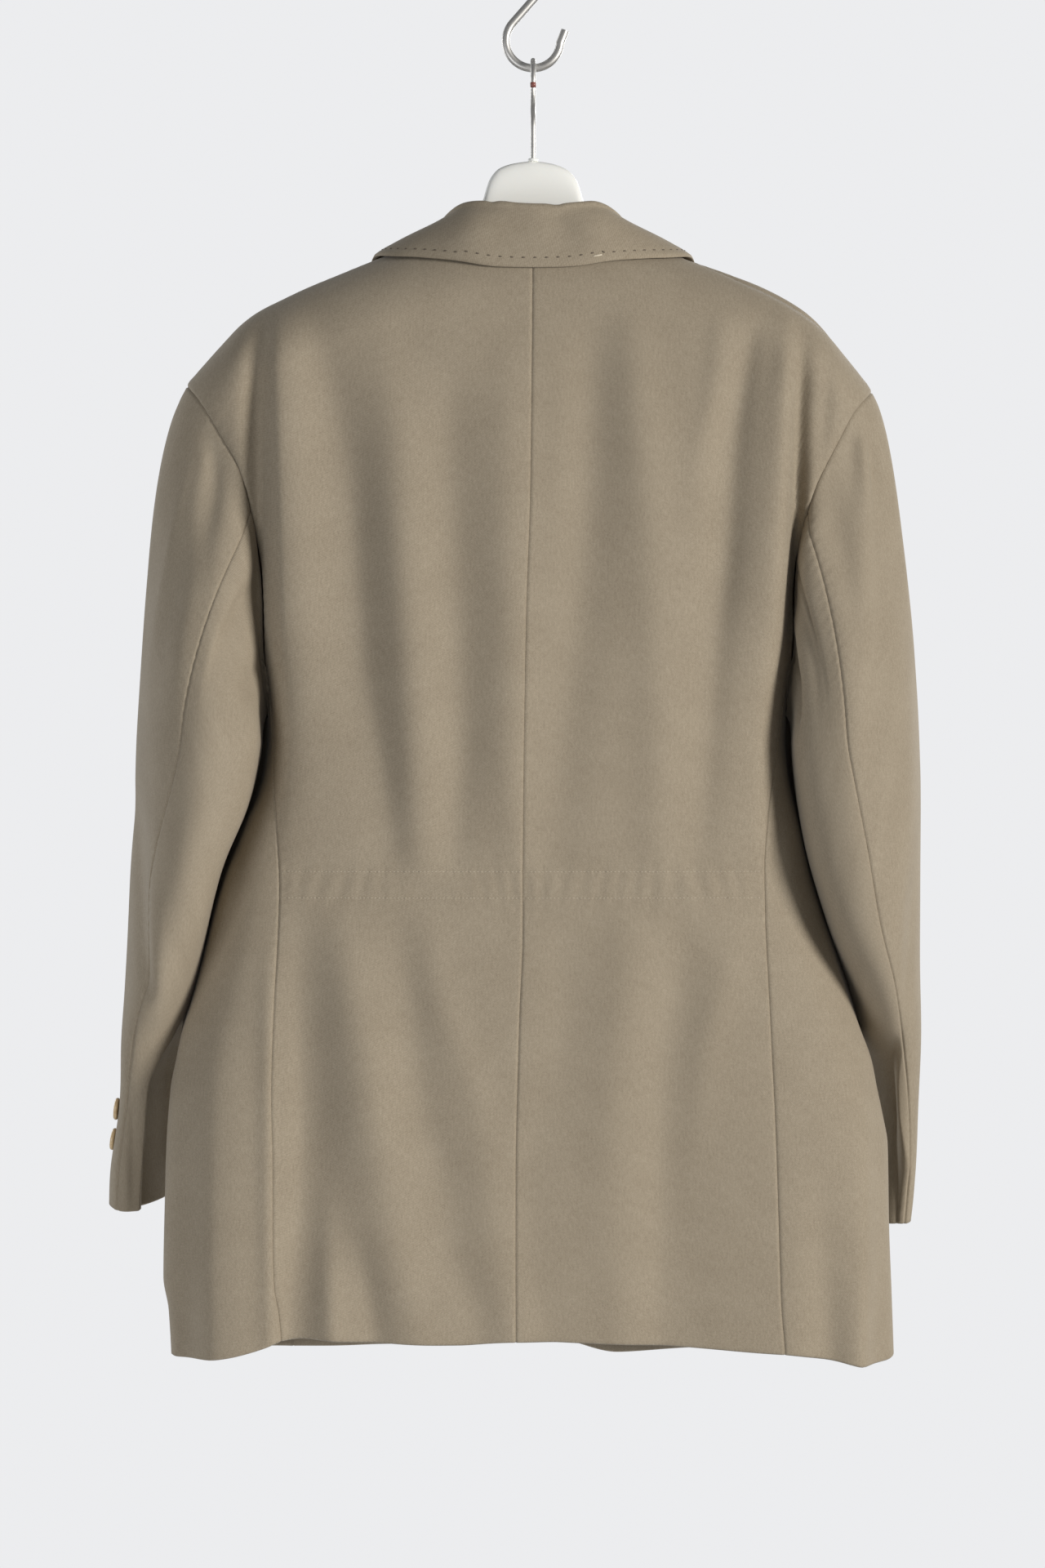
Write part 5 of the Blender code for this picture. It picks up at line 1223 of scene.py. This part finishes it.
def fix_normals(piece):
    work = bmesh.new()
    work.from_mesh(piece.data)
    bmesh.ops.recalc_face_normals(work, faces=work.faces)
    work.to_mesh(piece.data)
    work.free()


def arc(centre, radius, start, end, steps):
    turn = np.radians(np.linspace(start, end, steps + 1))
    return [(centre[0] + radius * math.cos(a), centre[1] + radius * math.sin(a)) for a in turn]


def s_hook():
    upper = (0.0, S_HOOK_WIRE - S_HOOK_BOWL)
    lower = (0.0, upper[1] - S_HOOK_BOWL_SPACING)
    lean = math.degrees(math.asin(2 * S_HOOK_BOWL / S_HOOK_BOWL_SPACING))
    bowl = arc(lower, S_HOOK_BOWL, -4, -180 - lean, 48)
    top = arc(upper, S_HOOK_BOWL, -lean, 176, 48)
    tip, end = bowl[0], top[-1]
    path = [(tip[0] + 3.4, tip[1] + 8.6), *bowl, *top, (end[0] - 3.4, end[1] - 8.6)]
    path = [(x, 0.0, z) for x, z in path]
    piece = tube_piece("s_hook_wire", [path], S_HOOK_WIRE, steel, 6)
    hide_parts("s_hook")


def hanger_hook():
    rest = 2 * (S_HOOK_WIRE - S_HOOK_BOWL) - S_HOOK_BOWL_SPACING
    top = rest + 0.3 + HANGER_WIRE
    path = [(0.0, -157.3), (0.0, -134.0), (0.5, -129.5), (2.2, -125.8)]
    path += arc((0.0, top - HANGER_HOOK_BEND), HANGER_HOOK_BEND, -70, 184, 48)
    path = [(0.0, y, z) for y, z in path]
    wire = tube_piece("hanger_hook_wire", [path], HANGER_WIRE, steel, 6)
    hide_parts("hanger_hook")
    cap = ((0, -1.4), (1.5, -1.2), (2.05, -0.4), (2.1, 0.8), (1.9, 2.4), (0, 2.6))
    turned("hanger_hook_tip", path[-1], (0, -0.1, -1), cap, copper, 20)
    ring = ((0, 0), (3.4, 0), (3.6, 0.4), (3.6, 1.6), (3.2, 2.1), (2.0, 2.3), (0, 2.3))
    turned("hanger_hook_ferrule", (0.0, 0.0, -HANGER_TOP), (0, 0, 1), ring, plastic, 28)


def turned(name, centre, facing, profile, material, sectors):
    """A solid of revolution: the profile's (radius, height) rows round the facing axis."""
    facing = unit(np.array(facing, float))
    guide = np.array([0.0, 0.0, 1.0]) if abs(facing[2]) < 0.9 else np.array([0.0, 1.0, 0.0])
    side = unit(np.cross(facing, guide))
    up = np.cross(side, facing)
    turn = np.linspace(0, 2 * math.pi, sectors + 1)[:-1]
    rings = []
    for radius, height in profile:
        circle = radius * (np.cos(turn)[:, None] * side + np.sin(turn)[:, None] * up)
        rings.append(np.array(centre) + facing * height + circle)
    points = np.concatenate(rings)
    faces = []
    for r in range(len(profile) - 1):
        for k in range(sectors):
            a, b = r * sectors + k, r * sectors + (k + 1) % sectors
            faces.append((a, a + sectors, b + sectors, b))
    return mesh_piece(name, points, faces, material)


# Profile of a button as shares of its radius and thickness, from its underside over the rim
BUTTON_PROFILE = (
    (0, 0), (0.8, 0), (0.92, 0.08), (0.985, 0.28), (1, 0.5), (0.985, 0.72), (0.93, 0.92), (0.86, 1),
    (0.78, 0.98), (0.7, 0.86), (0.62, 0.72), (0.5, 0.68), (0.25, 0.66), (0, 0.66),
)
# Radius and height of the dark cup of painted shade that fills each of its holes, with its ring
HOLE_RIM = ((0.0, 0.05), (0.62, 0.05), (0.78, 0.09), (0.86, 0.02), (0.86, -0.1))
# Place of the holes as a share of the radius, height of the dished middle as one of the thickness
HOLE_PLACE, BUTTON_MIDDLE = 0.19, 0.66
# The sewing thread rises this far over the middle and starts this far below it
THREAD_LIFT, THREAD_DEPTH = 0.34, 0.1


def button(name, centre, facing, radius, thickness):
    """A four-hole button with a raised rim, sewn on with crossed thread and a short shank."""
    profile = [(r * radius, h * thickness) for r, h in BUTTON_PROFILE]
    piece = turned(name + "_disc", centre, facing, profile, horn, 48)
    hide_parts(name)
    facing = unit(np.array(facing, float))
    side = unit(np.cross(facing, (0.0, 0.0, 1.0)))
    up = np.cross(side, facing)
    hole = radius * HOLE_PLACE
    top = np.array(centre) + facing * thickness * BUTTON_MIDDLE
    places = [top + side * a * hole + up * b * hole for a in (-1, 1) for b in (-1, 1)]
    # Each hole is a dark cup whose colour is painted shade, in place of the hole's depth
    for k, place in enumerate(places):
        turned(f"{name}_hole_{k + 1}", place, facing, HOLE_RIM, hole_shade, 14)
    sunk, lift = -facing * THREAD_DEPTH, facing * THREAD_LIFT
    threads = []
    for shift in (-0.16, 0.16):
        for start, end, height in ((places[0], places[3], lift), (places[1], places[2], lift * 1.4)):
            ends = ((start, sunk), (start, height), (end, height), (end, sunk))
            threads.append([tuple(spot + up * shift + rise) for spot, rise in ends])
    for a in (-1, 1):
        shank = np.array(centre) + side * a * hole * 0.5
        threads.append([tuple(shank - facing * 1.6), tuple(shank + facing * 0.2)])
    tube_piece(f"{name}_thread", threads, 0.26, thread)


# Materials

class Nodes:
    """A short way to wire a Principled material."""

    def __init__(self, name, colour, roughness, metallic=0.0):
        self.material = bpy.data.materials.new(name)
        self.material.use_nodes = True
        self.tree = self.material.node_tree
        self.shader = self.tree.nodes["Principled BSDF"]
        self.set("Base Color", (*colour, 1.0))
        self.set("Roughness", roughness)
        self.set("Metallic", metallic)

    def set(self, socket, value):
        self.shader.inputs[socket].default_value = value

    def add(self, kind, inputs=(), **settings):
        node = self.tree.nodes.new(kind)
        for key, value in settings.items():
            setattr(node, key, value)
        for key, value in dict(inputs).items():
            if isinstance(value, bpy.types.NodeSocket):
                self.tree.links.new(value, node.inputs[key])
            else:
                node.inputs[key].default_value = value
        return node

    def link(self, source, socket):
        self.tree.links.new(source, self.shader.inputs[socket])

    def math(self, operation, a, b):
        return self.add("ShaderNodeMath", {0: a, 1: b}, operation=operation).outputs[0]

    def added(self, a, share_a, b, share_b):
        return self.math("ADD", self.math("MULTIPLY", a, share_a), self.math("MULTIPLY", b, share_b))

    def mixed(self, factor, low, high):
        """A colour from low to high; the Mix node's colour sockets have the numbers 6, 7 and 2."""
        inputs = {0: factor, 6: (*low, 1.0), 7: (*high, 1.0)}
        return self.add("ShaderNodeMix", inputs, data_type="RGBA").outputs[2]

    def place(self):
        return self.add("ShaderNodeTexCoord").outputs["Object"]

    def noise(self, vector, scale, detail, **more):
        inputs = {"Vector": vector, "Scale": scale, "Detail": detail, **more}
        return self.add("ShaderNodeTexNoise", inputs).outputs["Fac"]

    def wave(self, vector, scale, distortion, detail_scale):
        inputs = {"Vector": vector, "Scale": scale, "Distortion": distortion, "Detail": 2.0}
        inputs["Detail Scale"] = detail_scale
        return self.add("ShaderNodeTexWave", inputs).outputs["Fac"]

    def mapped(self, vector, **settings):
        return self.add("ShaderNodeMapping", {"Vector": vector, **settings}).outputs[0]

    def bump(self, height, strength, distance):
        node = self.add("ShaderNodeBump", {"Height": height, "Strength": strength, "Distance": distance})
        self.link(node.outputs["Normal"], "Normal")


def make_twill():
    """Slanting lines of the weave in the cut's own millimetres, with slubs, flecks and clouds."""
    n = Nodes("taupe_twill_weave", TWILL_MIDDLE, 0.86)
    n.set("Sheen Weight", 0.12)
    n.set("Sheen Roughness", 0.45)
    n.set("Specular IOR Level", 0.25)
    cut = n.add("ShaderNodeUVMap", uv_map="cut").outputs[0]
    line = n.wave(n.mapped(cut, Rotation=(0, 0, math.radians(52))), 330.0, 2.6, 1.4)
    weft = n.wave(n.mapped(cut, Rotation=(0, 0, math.radians(-38))), 420.0, 1.6, 1.2)
    slub = n.noise(n.mapped(cut, Scale=(1.0, 0.3, 1.0)), 620.0, 3.0, Roughness=0.6)
    fleck = n.noise(cut, 900.0, 2.0)
    cloud = n.noise(cut, 26.0, 4.0, Roughness=0.6)
    rows = n.added(line, 0.11, weft, 0.07)
    specks = n.added(slub, 0.36, fleck, 0.46)
    shade = n.math("MULTIPLY", n.math("SUBTRACT", cloud, 0.5), 0.22)
    mottled = n.math("ADD", n.math("ADD", rows, specks), shade)
    ramp = n.add("ShaderNodeValToRGB", {"Fac": mottled})
    for stop, position, colour in zip(ramp.color_ramp.elements, (0.22, 0.78), (TWILL_DARK, TWILL_LIGHT)):
        stop.position, stop.color = position, (*colour, 1.0)
    n.link(ramp.outputs["Color"], "Base Color")
    n.bump(n.math("ADD", rows, n.math("MULTIPLY", specks, 0.6)), 0.35, 0.00025)
    return n.material


def make_thread(name, low, high):
    n = Nodes(name, low, 0.6)
    twist = n.noise(n.place(), 1500.0, 2.0)
    n.link(n.mixed(twist, low, high), "Base Color")
    n.bump(twist, 0.4, 0.0001)
    return n.material


def make_plastic():
    n = Nodes("white_plastic_moulded", (0.79, 0.79, 0.76), 0.5)
    n.set("Specular IOR Level", 0.5)
    n.set("Subsurface Weight", 0.08)
    n.set("Subsurface Radius", (0.004, 0.0035, 0.003))
    place = n.place()
    n.link(n.mixed(n.noise(place, 14.0, 3.0), (0.86, 0.87, 0.84), (0.92, 0.925, 0.90)), "Base Color")
    n.bump(n.noise(place, 260.0, 2.0), 0.12, 0.0002)
    return n.material


def make_steel():
    n = Nodes("brushed_steel_wire", (0.72, 0.71, 0.69), 0.42, 1.0)
    place = n.place()
    scratch = n.noise(n.mapped(place, Scale=(1.0, 1.0, 0.12)), 1800.0, 3.0)
    n.link(n.mixed(n.noise(place, 90.0, 4.0), (0.56, 0.55, 0.53), (0.68, 0.67, 0.65)), "Base Color")
    rough = n.add("ShaderNodeMapRange", {"Value": scratch, "To Min": 0.42, "To Max": 0.54})
    n.link(rough.outputs[0], "Roughness")
    return n.material


def make_horn():
    n = Nodes("amber_horn_polished", (0.55, 0.36, 0.17), 0.28)
    n.set("Coat Weight", 0.3)
    n.set("Coat Roughness", 0.15)
    n.set("Subsurface Weight", 0.1)
    n.set("Subsurface Radius", (0.003, 0.0018, 0.0008))
    grain = n.noise(n.place(), 130.0, 5.0, Distortion=1.5)
    n.link(n.mixed(grain, (0.50, 0.33, 0.16), (0.88, 0.69, 0.42)), "Base Color")
    n.bump(grain, 0.05, 0.0001)
    return n.material


def make_plain(name, low, high, roughness, scale):
    n = Nodes(name, low, roughness)
    n.link(n.mixed(n.noise(n.place(), scale, 3.0), low, high), "Base Color")
    return n.material


# The scene

def area_light(name, place, target, size, power, colour):
    data = bpy.data.lights.new(name, "AREA")
    data.shape, data.size, data.energy, data.color = "DISK", size, power, colour
    light = placed(name, data)
    light.location = place
    away = np.array(place, float) - np.array(target, float)
    flat = math.hypot(away[0], away[1])
    light.rotation_euler = (math.atan2(flat, away[2]), 0.0, math.atan2(away[1], away[0]) + math.pi / 2)


def world_light():
    """The camera sees a pale wall, while the part is lit by a fainter room."""
    world = bpy.data.worlds.new("pale_room")
    world.use_nodes = True
    tree = world.node_tree
    tree.nodes.clear()
    kinds = ("Background", "Background", "LightPath", "MixShader", "OutputWorld")
    seen, lit, path, mix, out = (tree.nodes.new(f"ShaderNode{kind}") for kind in kinds)
    for node, colour, strength in ((seen, WALL_COLOUR, 1.0), (lit, ROOM_COLOUR, ROOM_STRENGTH)):
        node.inputs["Color"].default_value = (*colour, 1.0)
        node.inputs["Strength"].default_value = strength
    tree.links.new(path.outputs["Is Camera Ray"], mix.inputs[0])
    tree.links.new(lit.outputs[0], mix.inputs[1])
    tree.links.new(seen.outputs[0], mix.inputs[2])
    tree.links.new(mix.outputs[0], out.inputs["Surface"])
    bpy.context.scene.world = world


def floor():
    turn = np.linspace(0, 2 * math.pi, FLOOR_SECTORS + 1)[:-1]
    level = np.full(FLOOR_SECTORS, -FLOOR_DROP)
    points = np.stack([FLOOR_RADIUS * np.cos(turn), FLOOR_RADIUS * np.sin(turn), level], axis=-1) * MM
    mesh = bpy.data.meshes.new("floor")
    mesh.from_pydata(points.tolist(), [], [list(range(FLOOR_SECTORS))])
    mesh.materials.append(make_plain("pale_floor", (0.70, 0.70, 0.71), (0.74, 0.74, 0.75), 0.8, 3.0))
    placed("floor", mesh)


def camera():
    data = bpy.data.cameras.new("camera")
    data.sensor_fit = "AUTO"
    data.angle = 2 * math.atan(VIEW_HEIGHT / 2 / CAMERA_DISTANCE)
    eye = placed("camera", data)
    eye.location = (VIEW_CENTRE_X, -CAMERA_DISTANCE, VIEW_CENTRE_Z)
    eye.rotation_euler = (math.pi / 2, 0.0, 0.0)
    bpy.context.scene.camera = eye


def front_buttons():
    for k, drop in enumerate(FRONT_BUTTON_DROPS):
        x = np.array(-0.5)
        s = -s_at(x, drop)
        facing = panel_normal(x, s, True)
        centre = skin(x, s, True) + facing * (1.7 - 1.2 * k)
        button(f"front_button_{k + 1}", centre, facing, *FRONT_BUTTON)
        buttonhole(f"front_buttonhole_{k + 1}", drop)


# Upper half of a keyhole's outline: x across the front, height
KEYHOLE = ((-3.2, 0), (-2.6, 1.5), (-1.2, 1.9), (0.2, 1.1), (4, 0.75), (9, 0.75), (13.6, 0.75), (14.2, 0))


def buttonhole(name, drop):
    """A worked keyhole in the upper front, from under the button towards the free edge."""
    spots = [*KEYHOLE, *((x, -h) for x, h in KEYHOLE[-2:0:-1]), KEYHOLE[0]]
    path = []
    for x, h in spots:
        place = np.array(x)
        path.append(tuple(skin(place, -s_at(place, drop - h), True) + np.array([0.0, 0.16, 0.0])))
    tube_piece(name, [path], 0.42, thread)


def cuff_buttons():
    for side in (LEFT, RIGHT):
        for k, (drop, turn) in enumerate(CUFF_BUTTONS[side]):
            turn, drop = np.array(math.radians(turn)), np.array(drop)
            around = sleeve_point(side, drop, turn + 0.05) - sleeve_point(side, drop, turn - 0.05)
            down = sleeve_point(side, drop + 2, turn) - sleeve_point(side, drop - 2, turn)
            facing = unit(np.cross(around, down)) * -side
            centre = sleeve_point(side, drop, turn) + facing * CUFF_BUTTON_LIFT[side]
            button(f"cuff_button_{WORD[side]}_{k + 1}", centre, facing, *CUFF_BUTTON)


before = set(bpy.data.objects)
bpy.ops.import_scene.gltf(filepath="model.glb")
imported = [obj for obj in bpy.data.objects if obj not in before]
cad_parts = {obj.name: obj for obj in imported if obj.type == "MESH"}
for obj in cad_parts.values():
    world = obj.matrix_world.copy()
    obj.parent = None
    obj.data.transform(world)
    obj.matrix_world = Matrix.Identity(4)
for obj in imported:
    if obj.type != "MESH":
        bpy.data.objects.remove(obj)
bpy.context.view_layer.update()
bpy.context.scene.view_settings.view_transform = "Standard"
twill = make_twill()
thread = make_thread("taupe_thread", (0.13, 0.105, 0.075), (0.24, 0.20, 0.15))
dark_thread = make_thread("shaded_thread", (0.085, 0.067, 0.047), (0.14, 0.11, 0.08))
light_thread = make_thread("buff_thread", (0.36, 0.31, 0.235), (0.52, 0.46, 0.36))
pale_thread = make_thread("cream_thread", (0.52, 0.45, 0.34), (0.74, 0.68, 0.56))
plastic, steel, horn = make_plastic(), make_steel(), make_horn()
copper = make_plain("copper_tip", (0.17, 0.05, 0.045), (0.30, 0.10, 0.08), 0.35, 300.0)
hole_shade = make_plain("button_hole_shade", (0.05, 0.03, 0.02), (0.09, 0.06, 0.04), 0.7, 400.0)

for half in (LEFT, RIGHT):
    back_panel(half)
    side_panel(half)
    front_panel(half)
    sleeve(half)
collar_outer, collar_normals, collar_rest = collar()
pick_stitches(collar_outer, collar_normals, collar_rest)
thread_bar(collar_outer, collar_normals)
casing_strip()
casing_stitches()
hanger()
s_hook()
hanger_hook()
front_buttons()
cuff_buttons()

world_light()
floor()
camera()
for light in LIGHTS:
    area_light(*light)
